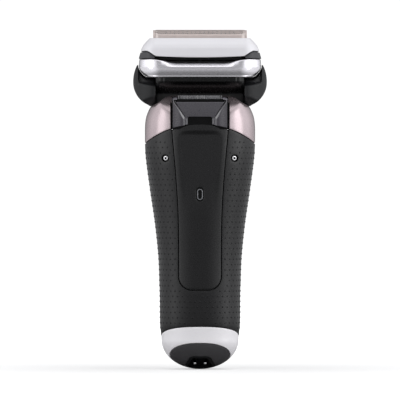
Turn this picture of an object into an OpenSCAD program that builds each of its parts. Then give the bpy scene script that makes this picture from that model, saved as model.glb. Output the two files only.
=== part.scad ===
// Foil shaver, upright. +Z runs up the handle, -Y is the trimmer side, +Y is the power button side.
// The origin is under the middle of the lower end.

/* [Handle] */
// Height of the rounded lower end
end_h = 14; // [12:0.5:16]
// How far the lower tip leans towards the front
end_lean = 3; // [0:0.5:4]
// Squareness of the handle's section, 2 is an ellipse
squareness = 2.5; // [2.2:0.1:3]
// Thickness of the outer skins
skin_t = 1.6; // [1.2:0.1:2]
// Thickness of the inner housing
housing_t = 1.6; // [1.2:0.1:2]
// Top of the shoulder dome
shoulder_top = 128.8; // [128:0.1:129]
// Gap drawn between neighbouring skins
seam = 0.15; // [0.1:0.05:0.3]
// Distance of a handle screw from the middle
screw_x = 16.3; // [15:0.1:18]
// Height of the handle screws
screw_z = 99.4; // [95:0.1:102]

/* [Lower end] */
// Height of the ring's upper edge at the handle's axis
ring_high_z = 15.2; // [14:0.1:17]
// Height of the ring's lower edge at the handle's axis
ring_low_z = 6; // [5:0.1:7]
// Distance between the two inlet pins
inlet_spacing = 4.8; // [4.4:0.1:5.2]
// Radius of an inlet pin
inlet_pin_r = 0.725; // [0.6:0.025:0.9]
// Length of an inlet pin that stands in the recess
inlet_pin_l = 4.4; // [3:0.1:5]

/* [Head] */
// How far the head sits in front of the handle's axis
head_y = 1; // [0:0.5:2]
// Height of the pivot that the head tilts about
pivot_z = 135.5; // [135:0.1:136]
// Radius of a pivot pin
pivot_r = 1.5; // [1.2:0.1:1.8]
// Half width of the head ring
ring_hw = 28.8; // [28:0.1:29]
// Half depth of the head ring
ring_hd = 14.5; // [14:0.1:15]
// Lower edge of the head ring
ring_low = 138.3; // [138:0.1:139]
// Upper edge of the head ring
ring_high = 145.4; // [145:0.1:146]
// Half width of the lower head between the ears
shell_hw = 20.3; // [20:0.1:20.5]
// Half depth of the lower head
shell_hd = 13.6; // [13:0.1:13.8]

/* [Cassette] */
// Top of the cassette frame
frame_top = 156; // [155:0.1:157]
// Top of the foils
foil_top = 160; // [159:0.1:160.5]
// Radius of a foil's arch
foil_r = 4.2; // [4:0.1:4.4]
// Distance of a foil from the middle trimmer
foil_y = 5.9; // [5.7:0.1:6.1]
// Half length of a foil
foil_hl = 21; // [20:0.5:21.5]
// How far a foil can sink
foil_sink = 2; // [1:0.1:2]
// Distance between the cutter's blades
blade_pitch = 2; // [1.5:0.1:2.5]

/* [Drive] */
// How far the drive swings to each side
stroke = 1.3; // [1:0.1:1.4]
// Radius of a drive pin
drive_pin_r = 1; // [0.8:0.1:1]

/* [Trimmer] */
// Lean of the trimmer away from the handle, in degrees
trimmer_lean = 12; // [10:0.5:14]
// Distance between the comb's teeth
tooth_pitch = 1; // [0.8:0.1:1.2]
// How far the trimmer's blade swings to each side
trimmer_swing = 1; // [0.6:0.1:1]

/* [Controls] */
// Height of the power button's middle
button_z = 86; // [82:1:88]
// Radius of the power button
button_r = 5.4; // [4.5:0.1:6]
// How far a cassette button sticks in when it is pressed
release_travel = 1; // [0.8:0.1:1.1]
// Half width of the head lock slider
lock_hw = 3.1; // [2.5:0.1:3.5]

/* [Hidden] */

// Handle sections: height, half width, half depth, how far the middle lies to the front
SECTIONS = [
    [end_h, 18.2, 13.4, 0],
    [21, 18.9, 13.9, 0.2],
    [36, 19.1, 14.3, 0.6],
    [52, 19.6, 14.8, 0.8],
    [68, 21.2, 15.4, 0.8],
    [84, 23.5, 15.9, 0.5],
    [100, 25.6, 16.2, 0],
    [109, 26.0, 16.1, 0],
    [118, 25.6, 16, 0],
    [124, 23.4, 16, 0],
    [131, 20, 16, 0]
];
section_count = len(SECTIONS);
ring_segments = 48;
shoulder_r = 16;
shoulder_arch_r = 62.5;
shoulder_line_r = 42;
shoulder_line_z = 73.5;
loft_top = 130;
ring_high_slope = 0.36;
ring_low_slope = 0.477;
fine = 64;
clear = 0.3;
reach = 60;
glue = 0.1;
housing_in = skin_t + glue;
hollow_in = housing_in + housing_t;
plate_top = 113;
bay_hw = 13.3;
bay_back = -10.2;
pin_tip = [0, -4.9, 2.4];
inlet_tilt = -45;
ear_in = 21;
ear_mid = 20.6;
ear_out = 11;
ear_low = 11.5;
ear_up = 14;
ear_depth = 9.5;
bar_low = 118.5;
cover_back = -0.1;
front_hw = 8.6;
arm_low = 139.2;
deck_low = 143.6;
base_low = ring_high + 0.3;
base_high = 147.3;
foil_axis_z = foil_top - foil_r;
carrier_low = 149.6;
carrier_high = 153.6;
holder_low = 149.6;
drive_pin_top = carrier_low + 1.1;
drive_hole_top = drive_pin_top + foil_sink + clear;

// ---- Shape of the handle ----

// Rise of a section's value k per millimetre of height, at section i
function section_slope(i, k) =
    i == 0 ? 0 :
    i == section_count - 1 ? (SECTIONS[i][k] - SECTIONS[i - 1][k]) / (SECTIONS[i][0] - SECTIONS[i - 1][0]) :
    (SECTIONS[i + 1][k] - SECTIONS[i - 1][k]) / (SECTIONS[i + 1][0] - SECTIONS[i - 1][0]);

// Index of the section below height z
function section_below(z) =
    max([for (i = [0:section_count - 2]) if (SECTIONS[i][0] <= z || i == 0) i]);

// Smooth curve through value k of the sections
function section_value(z, k) =
    let (i = section_below(z),
         h = SECTIONS[i + 1][0] - SECTIONS[i][0],
         t = (z - SECTIONS[i][0]) / h,
         a = SECTIONS[i][k], b = SECTIONS[i + 1][k],
         ma = section_slope(i, k) * h, mb = section_slope(i + 1, k) * h)
    (2 * t * t * t - 3 * t * t + 1) * a + (t * t * t - 2 * t * t + t) * ma
    + (3 * t * t - 2 * t * t * t) * b + (t * t * t - t * t) * mb;

// Share of the full size that is left at height z in the rounded lower end
function end_share(z, inset) =
    z >= end_h ? 1 : sqrt(max(0, 1 - pow((end_h - z) / (end_h - inset), 2)));

function half_width(z, inset) = (section_value(max(z, end_h), 1) - inset) * end_share(z, inset);
function half_depth(z, inset) = (section_value(max(z, end_h), 2) - inset) * end_share(z, inset);
function middle_y(z) =
    z >= end_h ? section_value(z, 3) : end_lean * pow((end_h - z) / end_h, 2);
function power_of(v) = (v < 0 ? -1 : 1) * pow(abs(v), 2 / squareness);

function section_ring(z, inset) =
    [for (i = [0:ring_segments - 1])
        let (angle = 360 * i / ring_segments)
        [half_width(z, inset) * power_of(cos(angle)),
         middle_y(z) + half_depth(z, inset) * power_of(sin(angle)), z]];

// Distance from the middle plane to the handle's surface at x, z
function surface_depth(x, z) =
    half_depth(z, 0) * pow(1 - pow(abs(x) / half_width(z, 0), squareness), 1 / squareness);
function back_y(x, z) = middle_y(z) - surface_depth(x, z);
function front_y(x, z) = middle_y(z) + surface_depth(x, z);

// The handle's outer body, shrunk by inset, from its rounded end up to the straight top
module handle_loft(inset) {
    end_steps = 9;
    body_steps = 17;
    heights = concat(
        [for (i = [1:end_steps]) inset + (end_h - inset) * (1 - cos(90 * i / end_steps))],
        [for (i = [1:body_steps]) end_h + (loft_top - end_h) * i / body_steps]);
    rings = [for (z = heights) section_ring(z, inset)];
    n = ring_segments;
    count = len(rings);
    points = concat([for (ring = rings) each ring], [[0, middle_y(inset), inset]]);
    tip = count * n;
    faces = concat(
        [for (r = [0:count - 2], i = [0:n - 1])
            let (a = r * n + i, b = r * n + (i + 1) % n) each [[a, a + n, b], [b, a + n, b + n]]],
        [for (i = [0:n - 1]) [tip, i, (i + 1) % n]],
        [[for (i = [n - 1:-1:0]) (count - 1) * n + i]]);
    polyhedron(points, faces, convexity = 4);
}

module along_x(x0, x1, r) {
    translate([x0, 0, 0]) rotate([0, 90, 0]) cylinder(r = r, h = x1 - x0, $fn = fine);
}

// The handle's body with its domed shoulder
module handle_body(inset) {
    intersection() {
        handle_loft(inset);
        union() {
            translate([0, 0, shoulder_top - shoulder_r]) along_x(-reach, reach, shoulder_r - inset);
            translate([-reach, -reach, -1])
                cube([2 * reach, 2 * reach, shoulder_top - shoulder_r + 1]);
        }
        union() {
            translate([0, reach, shoulder_top - shoulder_arch_r]) rotate([90, 0, 0])
                cylinder(r = shoulder_arch_r - inset, h = 2 * reach, $fn = 3 * fine);
            translate([-reach, -reach, -1])
                cube([2 * reach, 2 * reach, shoulder_top - shoulder_arch_r + 1]);
        }
    }
}

module shell(outer, inner) {
    difference() {
        handle_body(outer);
        handle_body(inner);
    }
}

// A prism from y0 towards the back, or towards the front, of an outline in x and z
module to_back(y0) {
    translate([0, y0, 0]) rotate([90, 0, 0]) linear_extrude(reach) children();
}

module to_front(y0) {
    translate([0, y0 + reach, 0]) rotate([90, 0, 0]) linear_extrude(reach) children();
}

module below_plane(z0, slope) {
    translate([0, 0, z0]) rotate([-atan(slope), 0, 0])
        translate([-reach, -reach, -2 * reach]) cube([2 * reach, 2 * reach, 2 * reach]);
}

// Everything under the arched line between the grip and the shoulder cap
module below_shoulder_line(grow) {
    translate([0, reach, 0]) rotate([90, 0, 0]) linear_extrude(2 * reach) {
        translate([0, shoulder_line_z]) circle(r = shoulder_line_r + grow, $fn = 2 * fine);
        translate([-shoulder_line_r, -1]) square([2 * shoulder_line_r, shoulder_line_z + 1]);
    }
}

// A rectangle with round corners, about the origin
module round_rect(hw, hd, r) {
    offset(r = r, $fn = 32) square([2 * (hw - r), 2 * (hd - r)], center = true);
}

// ---- Outlines of the plates ----

module back_outline(grow) {
    corner_r = 6.6;
    corner = [3.7, 43.7];
    side = [[13.5, loft_top + 5], [13.5, plate_top], [12.6, 102], [11.7, 91.6], [10.8, 78], [10.4, 66]];
    arc = [for (a = [0:-9:-90]) corner + corner_r * [cos(a), sin(a)]];
    right = concat(side, arc);
    left = [for (i = [len(right) - 1:-1:0]) [-right[i][0], right[i][1]]];
    offset(delta = grow) polygon(concat(right, left));
}

module front_outline(grow) {
    low = 34;
    high = 112;
    offset(delta = grow) hull() {
        translate([0, low + front_hw]) circle(r = front_hw, $fn = fine);
        translate([0, high - front_hw]) circle(r = front_hw, $fn = fine);
    }
}

module display_outline(grow) {
    translate([0, 50]) offset(delta = grow) round_rect(3.6, 9, 2);
}

module lock_slot_outline() {
    translate([0, 102.2]) round_rect(lock_hw + clear, 4.9, 0.6);
}

// Everything cut out of the skins for the back plate and the trimmer bay
module back_opening() {
    intersection() {
        to_back(-6) back_outline(0);
        translate([-reach, -reach, 0]) cube([2 * reach, 2 * reach, plate_top]);
    }
    intersection() {
        to_back(bay_back + clear) back_outline(0);
        translate([-reach, -reach, plate_top - 0.01]) cube([2 * reach, 2 * reach, reach]);
    }
}

// ---- Handle pieces ----

module rubber_grip() {
    color([0.22, 0.22, 0.23]) resize([0, 0, 0]) difference() {
        intersection() {
            shell(0, skin_t);
            below_shoulder_line(-seam);
        }
        below_plane(ring_high_z + seam, ring_high_slope);
        back_opening();
        to_front(6) front_outline(0);
        for (side = [-1, 1])
            translate([side * screw_x, -reach, screw_z]) rotate([-90, 0, 0])
                cylinder(r = 1.65, h = reach, $fn = 32);
    }
}

module shoulder_cap() {
    color([0.78, 0.74, 0.74]) resize([0, 0, 0]) difference() {
        shell(0, skin_t);
        below_shoulder_line(seam);
        back_opening();
        to_front(6) front_outline(0);
        for (side = [-1, 1]) scale([side, 1, 1]) {
            ear(clear);
            ear_post(seam);
        }
        neck_form(seam);
    }
}

module inner_housing() {
    low = 9.5;
    top = 112.3;
    color([0.16, 0.16, 0.17]) resize([0, 0, 0]) difference() {
        handle_loft(housing_in);
        handle_loft(hollow_in);
        translate([-reach, -reach, top]) cube([2 * reach, 2 * reach, reach]);
        translate([-reach, -reach, low - reach]) cube([2 * reach, 2 * reach, reach]);
        translate([-9.3, -reach, 101]) cube([18.6, reach + bay_back + clear, reach]);
        for (side = [-1, 1])
            translate([side * screw_x, -reach, screw_z]) rotate([-90, 0, 0])
                cylinder(r = 0.85, h = reach - 6, $fn = 24);
        translate([0, 8, button_z]) rotate([-90, 0, 0]) cylinder(r = 2.4, h = 12, $fn = 32);
    }
}

module back_plate() {
    color([0.15, 0.15, 0.16]) resize([0, 0, 0]) difference() {
        intersection() {
            shell(0, skin_t - 0.05);
            to_back(-6) back_outline(-0.3);
        }
        translate([-reach, -reach, plate_top - 0.5]) cube([2 * reach, 2 * reach, reach]);
        thumb_dish();
        translate([0, -reach, marker_z]) rotate([-90, 0, 0]) linear_extrude(reach)
            marker_outline(0.05);
    }
}

// The shallow dish under the trimmer that gives the thumb room
dish_r = 42;
dish_depth = 0.9;
dish_z = 99;
module thumb_dish() {
    translate([0, back_y(0, dish_z) + dish_depth - dish_r, dish_z]) scale([0.9, 1, 1.5])
        sphere(r = dish_r, $fn = 96);
}

marker_z = 82.4;
module marker_outline(grow) {
    offset(delta = grow) hull() for (side = [-1, 1])
        translate([0, side * 1.5]) circle(r = 1.5, $fn = 32);
}

module thumb_marker() {
    proud = 0.35;
    color([0.6, 0.6, 0.62]) translate([0, back_y(0, marker_z) - proud, marker_z])
        rotate([-90, 0, 0]) linear_extrude(proud + skin_t - 0.3) marker_outline(0);
}

module front_plate() {
    color([0.1, 0.1, 0.11]) resize([0, 0, 0]) difference() {
        intersection() {
            shell(0, skin_t - 0.05);
            to_front(6) front_outline(-0.2);
        }
        to_front(0) display_outline(0.1);
        to_front(0) lock_slot_outline();
        translate([0, 0, button_z]) rotate([-90, 0, 0])
            cylinder(r = bezel_r + 0.05, h = reach, $fn = fine);
    }
}

module display_window() {
    color([0.05, 0.05, 0.07]) resize([0, 0, 0]) intersection() {
        shell(0.02, skin_t - 0.1);
        to_front(0) display_outline(0);
    }
}

// Two screws with round heads and a small dimple in each
module handle_screws() {
    head_y0 = back_y(screw_x, screw_z) + 0.5;
    color([0.85, 0.85, 0.87]) for (side = [-1, 1])
        translate([side * screw_x, head_y0, screw_z]) rotate([-90, 0, 0]) difference() {
            union() {
                cylinder(r = 1.2, h = 0.9, $fn = 32);
                cylinder(r = 0.8, h = 6, $fn = 32);
            }
            translate([0, 0, -0.1]) cylinder(r = 0.3, h = 0.6, $fn = 24);
        }
}

module bottom_ring() {
    color([0.86, 0.86, 0.87]) resize([0, 0, 0]) difference() {
        intersection() {
            shell(0, skin_t);
            below_plane(ring_high_z, ring_high_slope);
        }
        below_plane(ring_low_z, ring_low_slope);
    }
}

module bottom_cap() {
    color([0.14, 0.14, 0.15]) resize([0, 0, 0]) difference() {
        intersection() {
            shell(0, skin_t);
            below_plane(ring_low_z - seam, ring_low_slope);
        }
        in_inlet() inlet_prism(1.4, -reach, 9);
    }
}

// ---- Inlet ----

module in_inlet() {
    translate(pin_tip) rotate([inlet_tilt, 0, 0]) children();
}

module inlet_prism(grow, low, high) {
    translate([0, 0, low]) linear_extrude(high - low)
        offset(r = 1.5 + grow, $fn = 32) offset(delta = -1.5)
            polygon([[-3.6, -5], [3.6, -5], [6.5, 4.5], [-6.5, 4.5]]);
}

tail_r = 0.9;
module inlet_socket() {
    color([0.07, 0.07, 0.08]) resize([0, 0, 0]) difference() {
        intersection() {
            handle_body(0.25);
            in_inlet() inlet_prism(1.3, -reach, 6.8);
        }
        in_inlet() inlet_prism(0, -reach, inlet_pin_l);
        for (side = [-1, 1]) in_inlet()
            translate([side * inlet_spacing / 2, 0, -1]) cylinder(r = tail_r + 0.03, h = 20, $fn = 32);
    }
}

// Two contact pins with a chamfered tip and a thicker tail in the socket
module inlet_pins() {
    tip = 0.4;
    color([0.88, 0.88, 0.9]) for (side = [-1, 1]) in_inlet()
        translate([side * inlet_spacing / 2, 0, 0]) {
            cylinder(r1 = inlet_pin_r - 0.35, r2 = inlet_pin_r, h = tip, $fn = 32);
            translate([0, 0, tip]) cylinder(r = inlet_pin_r, h = inlet_pin_l - tip, $fn = 32);
            translate([0, 0, inlet_pin_l]) cylinder(r = tail_r, h = 4.5, $fn = 32);
        }
}

// ---- Inside the handle ----

battery_r = 7;
battery_y = -2.2;
battery_low = 32;
battery_high = 82;
board_y = 8.2;

module chassis() {
    rib_t = 2;
    color([0.3, 0.3, 0.32]) {
        difference() {
            union() {
                translate([-11.5, 6.2, 24]) cube([23, 1, 78]);
                for (z = [34, 56, 78])
                    translate([-9.5, battery_y, z]) cube([19, 6.2 - battery_y + 0.5, rib_t]);
                translate([-6, -2, 100]) cube([12, 9.2, 2]);
                translate([-6, 1, 101.5]) cube([12, 6.2, bar_low - 101.5]);
            }
            translate([0, battery_y, 20]) cylinder(r = battery_r + 0.1, h = 70, $fn = fine);
        }
    }
}

module battery() {
    color([0.25, 0.45, 0.3]) translate([0, battery_y, 0]) {
        translate([0, 0, battery_low]) cylinder(r = battery_r, h = battery_high - battery_low, $fn = fine);
        translate([0, 0, battery_high]) cylinder(r = 2.6, h = 1, $fn = fine);
    }
}

module battery_tabs() {
    color([0.75, 0.75, 0.72]) {
        translate([-2, battery_y - 2, battery_low - 0.3]) cube([4, 10.2, 0.3]);
        translate([-2, battery_y - 2, battery_high + 1]) cube([4, 10.2, 0.3]);
    }
}

module circuit_board() {
    color([0.1, 0.35, 0.2]) difference() {
        union() {
            translate([-9, board_y, 30]) cube([18, 1, 70]);
            translate([-6, board_y + 1, 64]) cube([5, 1.1, 6]);
            translate([2, board_y + 1, 70]) cube([3, 0.8, 3]);
            translate([-3, board_y + 1, 45]) cube([6, 1.5, 10]);
        }
        for (z = [33, 97])
            translate([6.5, board_y - 1, z]) rotate([-90, 0, 0]) cylinder(r = 1, h = 4, $fn = 24);
    }
}

module power_switch() {
    color([0.2, 0.2, 0.2]) translate([0, board_y + 1, button_z]) {
        translate([-3, 0, -3]) cube([6, 2.4, 6]);
        rotate([-90, 0, 0]) cylinder(r = 1.5, h = 2.9, $fn = 32);
    }
}

// ---- Controls on the front ----

bezel_r = 6.9;
button_face = front_y(0, button_z) + 0.55;
module power_button() {
    color([0.75, 0.75, 0.77]) translate([0, 0, button_z]) rotate([-90, 0, 0]) {
        translate([0, 0, button_face - 1.5]) cylinder(r = button_r, h = 1.5, $fn = fine);
        translate([0, 0, 12.8]) cylinder(r = 2, h = button_face - 1.5 - 12.8, $fn = 32);
    }
}

module power_bezel() {
    color([0.8, 0.8, 0.82]) translate([0, front_y(0, button_z) - 1.5, button_z]) rotate([-90, 0, 0])
        difference() {
            cylinder(r = bezel_r, h = 1.8, $fn = fine);
            translate([0, 0, -1]) cylinder(r = button_r + 0.1, h = 5, $fn = fine);
        }
}

module head_lock_slider() {
    low = 97.7;
    height = 5.6;
    back = front_y(0, 102) - skin_t + 0.15;
    color([0.3, 0.3, 0.32]) difference() {
        translate([-lock_hw, back, low]) cube([2 * lock_hw, skin_t + 1.2, height]);
        for (i = [0:3])
            translate([-lock_hw - 1, back + skin_t + 0.8, low + 0.8 + 1.2 * i])
                cube([2 * lock_hw + 2, 2, 0.5]);
    }
}

// ---- Yoke ----

function oval(cx, cy, rx, ry, a0, a1, steps) =
    [for (i = [0:steps]) let (a = a0 + (a1 - a0) * i / steps) [cx + rx * cos(a), cy + ry * sin(a)]];

// One ear, on the +X side
module ear(grow) {
    top_angle = asin(8.1 / ear_up);
    outline = concat(
        [[ear_in, 119], [22, 119], [22.6, 122.5]],
        oval(ear_mid, pivot_z, ear_out, ear_low, -70, 0, 14),
        oval(ear_mid, pivot_z, ear_out, ear_up, 4, top_angle, 8),
        [[ear_in, pivot_z + 8.1]]);
    resize([0, 0, 0]) difference() {
        intersection() {
            translate([0, reach, 0]) rotate([90, 0, 0]) linear_extrude(2 * reach)
                offset(delta = grow) polygon(outline);
            translate([0, 0, 100]) linear_extrude(60) offset(delta = grow)
                translate([0, head_y]) polygon(oval(ear_mid - 2, 0, ear_out + 2, ear_depth, -90, 90, 32));
            translate([0, head_y, pivot_z]) along_x(10, 40, 11.5 + grow);
            translate([0, head_y - 9, 110]) cube([40, 18, 40]);
        }
        translate([15, head_y, 0]) rotate([90, 0, 90]) linear_extrude(ring_hw + clear - 15)
            polygon([[0, pivot_z + 1.9], [-20, pivot_z - 6.6], [-20, 160], [20, 160], [20, pivot_z - 6.6]]);
    }
}

// The upright under an ear, down to the crossbar inside the shoulder
module ear_post(grow) {
    translate([ear_in - grow, head_y - 3.4 - grow, bar_low - grow])
        cube([1.2 + 2 * grow, 6.8 + 2 * grow, 9 + 2 * grow]);
}

module head_yoke() {
    color([0.25, 0.25, 0.27]) resize([0, 0, 0]) difference() {
        union() {
            for (side = [-1, 1]) scale([side, 1, 1]) {
                ear(0);
                ear_post(0);
            }
            translate([-ear_in - 1, -4, bar_low]) cube([2 * ear_in + 2, 9, 4]);
        }
        translate([0, head_y, pivot_z]) {
            along_x(ear_in - 2, 26.1, pivot_r + 0.02);
            along_x(-26.1, -ear_in + 2, pivot_r + 0.02);
        }
    }
}

// The soft pad that closes the gap between the shoulder and the lower head
module neck_form(grow) {
    top = shoulder_top + 0.2;
    intersection() {
        translate([0, head_y, top - shoulder_r]) along_x(-ear_in + 0.1, ear_in - 0.1, shoulder_r + grow);
        translate([-ear_in, head_y - 6.5 - grow, 122.6])
            cube([2 * ear_in, 13 + 2 * grow, 10]);
    }
}

module neck_seal() {
    color([0.1, 0.1, 0.1]) resize([0, 0, 0]) difference() {
        neck_form(0);
        for (side = [-1, 1], i = [0:3])
            translate([side * (19.6 - 1.3 * i) - 0.3, -10, 127.9]) cube([0.6, 22, 2]);
    }
}

module pivot_pins() {
    color([0.8, 0.8, 0.82]) translate([0, head_y, pivot_z]) {
        along_x(17.4, 26, pivot_r);
        along_x(-26, -17.4, pivot_r);
    }
}

module pivot_bushes() {
    color([0.7, 0.55, 0.3]) for (side = [-1, 1]) scale([side, 1, 1])
        translate([0, head_y, pivot_z]) difference() {
            along_x(17.9, shell_hw, 2.7);
            along_x(17, shell_hw + 1, pivot_r + 0.05);
        }
}

// ---- Head ----

module head_plan(hw, hd, r) {
    translate([0, head_y]) round_rect(hw, hd, r);
}

// Lower head: a boat-shaped tray under the ring, round underneath so that it clears the shoulder
module head_shell() {
    hull_r = 18;
    wall = 1.6;
    color([0.08, 0.08, 0.09]) difference() {
        intersection() {
            translate([0, 0, 125]) linear_extrude(ring_low - 125) head_plan(shell_hw, shell_hd, 5);
            translate([0, head_y, 130 + hull_r]) along_x(-reach, reach, hull_r);
        }
        intersection() {
            translate([0, 0, 125]) linear_extrude(20) head_plan(shell_hw - wall, shell_hd - wall, 3.4);
            translate([0, head_y, 130 + hull_r]) along_x(-reach, reach, hull_r - wall);
        }
        for (side = [-1, 1]) scale([side, 1, 1])
            translate([0, head_y, pivot_z]) along_x(17, shell_hw + 1, 2.7);
    }
}

module head_ring() {
    wall = 1.6;
    color([0.82, 0.82, 0.84]) difference() {
        translate([0, 0, ring_low]) linear_extrude(ring_high - ring_low) head_plan(ring_hw, ring_hd, 10);
        translate([0, 0, ring_low + 1.3]) linear_extrude(20)
            head_plan(ring_hw - wall, ring_hd - wall, 8.4);
        translate([0, 0, ring_low - 1]) linear_extrude(20) head_plan(shell_hw - wall, shell_hd - wall, 3.4);
    }
}

module pin_slots(low, high) {
    for (y = [-foil_y, 0, foil_y])
        translate([0, head_y + y, low]) linear_extrude(high - low)
            round_rect(drive_pin_r + stroke + clear, drive_pin_r + clear, drive_pin_r + clear - 0.01);
}

module head_deck() {
    color([0.1, 0.1, 0.11]) difference() {
        translate([0, 0, deck_low]) linear_extrude(ring_high - 0.2 - deck_low)
            head_plan(ring_hw - 1.7, ring_hd - 1.7, 8.3);
        pin_slots(deck_low - 1, ring_high + 1);
    }
}

module drive_coil() {
    color([0.6, 0.35, 0.15]) {
        translate([-12, head_y - 6.5, 134.2]) cube([24, 13, 4.5]);
        for (x = [-7, 7])
            translate([x, head_y, 134.2]) cylinder(r = 4.5, h = 4.7, $fn = fine);
    }
}

middle_pin_r = 0.6;
rod_r = 0.8;
rod_y = 9.6;
rod_z = 140.5;
module drive_guides() {
    color([0.75, 0.75, 0.77]) for (side = [-1, 1]) {
        translate([0, head_y + side * rod_y, rod_z]) along_x(-17.5, 17.5, rod_r);
        for (x = [-17.5, 17.5])
            translate([x - 1.2, head_y + side * rod_y - 1.5, ring_low + 1.35]) cube([2.4, 3, 3]);
    }
}

// The moving magnet carrier with its three drive pins
module drive_armature() {
    color([0.45, 0.45, 0.5]) difference() {
        union() {
            translate([-12, head_y - 7, arm_low]) cube([24, 14, 2.4]);
            translate([-4, head_y - 11.2, rod_z - 1.3]) cube([8, 22.4, 2.6]);
            for (y = [-foil_y, foil_y])
                translate([0, head_y + y, arm_low])
                    cylinder(r = drive_pin_r, h = drive_pin_top - arm_low, $fn = 32);
            translate([0, head_y, arm_low])
                cylinder(r = middle_pin_r, h = drive_pin_top - arm_low, $fn = 32);
        }
        for (side = [-1, 1])
            translate([0, head_y + side * rod_y, rod_z]) along_x(-5, 5, rod_r + 0.04);
    }
}

// ---- Release buttons ----

// The curved line between the cassette frame and the buttons, seen from the back
function flare_line(x_shift) =
    [for (i = [0:10]) let (t = i / 10) [20 + x_shift + 6 * t, 147.5 + 3.5 * (3 * t * t - 2 * t * t * t)]];

module release_button() {
    gap = release_travel + clear;
    inner_x = 23.2;
    outline = concat([[inner_x, ring_high + 0.35], [31, ring_high + 0.35], [31, 150.7]],
        [for (i = [10:-1:4]) flare_line(gap)[i] + [0, -0.3]], [[inner_x, 147.5]]);
    intersection() {
        translate([0, reach, 0]) rotate([90, 0, 0]) linear_extrude(2 * reach) polygon(outline);
        translate([0, 0, 140]) linear_extrude(20) head_plan(ring_hw + 0.3, ring_hd - 1.2, 10);
    }
}

module release_button_left() {
    color([0.25, 0.25, 0.27]) resize([0, 0, 0]) scale([-1, 1, 1]) release_button();
}

module release_button_right() {
    color([0.25, 0.25, 0.27]) resize([0, 0, 0]) release_button();
}

// ---- Cassette ----

module cassette_base() {
    color([0.07, 0.07, 0.08]) difference() {
        translate([0, 0, base_low]) linear_extrude(base_high - base_low)
            head_plan(21.6, ring_hd - 1.3, 6);
        pin_slots(base_low - 1, base_high + 1);
    }
}

// Outer form of the silver frame, shrunk by inset
module frame_form(inset) {
    levels = [[147.4, 27.8, 14.2], [151.2, 27.6, 14.1], [154.4, 25.3, 12.5], [frame_top, 23.5, 11.4]];
    for (i = [0:len(levels) - 2]) hull() for (level = [levels[i], levels[i + 1]])
        translate([0, 0, level[0]]) linear_extrude(0.01)
            head_plan(level[1] - inset, level[2] - inset, 7 - inset);
}

module cassette_frame() {
    wall = 1.4;
    flare = flare_line(0);
    skirt = concat(flare, [[reach, 151], [reach, 158], [-reach, 158], [-reach, 151]],
        [for (i = [len(flare) - 1:-1:0]) [-flare[i][0], flare[i][1]]]);
    color([0.86, 0.86, 0.88]) resize([0, 0, 0]) difference() {
        intersection() {
            frame_form(0);
            translate([0, reach, 0]) rotate([90, 0, 0]) linear_extrude(2 * reach) polygon(skirt);
        }
        translate([0, 0, -wall]) frame_form(wall);
        translate([0, 0, 145]) linear_extrude(5) head_plan(26.2, 12.7, 5.5);
        for (y = [-foil_y, foil_y])
            translate([0, head_y + y, 150]) linear_extrude(10)
                square([2 * foil_hl + 3, 2 * foil_r + 0.5], center = true);
        translate([0, head_y, 150]) linear_extrude(10)
            square([2 * foil_hl + 3, 2 * foil_y - 2 * foil_r + 0.2], center = true);
    }
}

// Coil spring: a round wire swept along a helix, standing on the cassette's base
module spring(x, y) {
    r = 0.7;
    wire_r = 0.15;
    turns = 2.5;
    height = holder_low - base_high;
    steps = 8 * turns;
    sides = 5;
    points = [for (i = [0:steps], k = [0:sides - 1])
        let (a = 45 * i, b = 360 * k / sides, q = r + wire_r * cos(b))
        [q * cos(a), q * sin(a), wire_r + (height - 2 * wire_r) * i / steps + wire_r * sin(b)]];
    faces = concat([[for (k = [0:sides - 1]) k]],
        [for (i = [0:steps - 1], k = [0:sides - 1])
            let (a = i * sides + k, b = i * sides + (k + 1) % sides)
            each [[a, a + sides, b], [b, a + sides, b + sides]]],
        [[for (k = [sides - 1:-1:0]) steps * sides + k]]);
    translate([x, head_y + y, base_high]) polyhedron(points, faces, convexity = 6);
}

// The two springs under a foil's outer edge
module foil_springs(side) {
    color([0.8, 0.8, 0.8]) for (x = [-20.2, 20.2]) spring(x, side * (foil_y + 3.45));
}

module middle_springs() {
    color([0.8, 0.8, 0.8]) for (x = [-20.75, 20.75]) spring(x, 0);
}

// A foil: a thin arched sheet
module foil(y) {
    t = 0.3;
    low = 151.2;
    color([0.83, 0.8, 0.78]) translate([0, head_y + y, 0]) difference() {
        union() {
            translate([0, 0, foil_axis_z]) along_x(-foil_hl, foil_hl, foil_r);
            translate([-foil_hl, -foil_r, low]) cube([2 * foil_hl, 2 * foil_r, foil_axis_z - low]);
        }
        translate([0, 0, foil_axis_z]) along_x(-reach, reach, foil_r - t);
        translate([-reach, t - foil_r, low - 1])
            cube([2 * reach, 2 * (foil_r - t), foil_axis_z - low + 1]);
    }
}

// The frame that holds a foil's ends and its lower edges
module foil_holder(y) {
    low = holder_low;
    cheek_r = foil_r - 0.2;
    color([0.12, 0.12, 0.13]) translate([0, head_y + y, 0]) {
        for (side = [-1, 1]) scale([side, 1, 1]) {
            translate([0, 0, foil_axis_z]) along_x(foil_hl, foil_hl + 1.1, cheek_r);
            translate([foil_hl, -cheek_r, low]) cube([1.1, 2 * cheek_r, foil_axis_z - low]);
            translate([-foil_hl, 3.05, low]) cube([2 * foil_hl, 0.8, 2.2]);
        }
        translate([-foil_hl, -3.85, low]) cube([2 * foil_hl, 0.8, 2.2]);
    }
}

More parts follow.
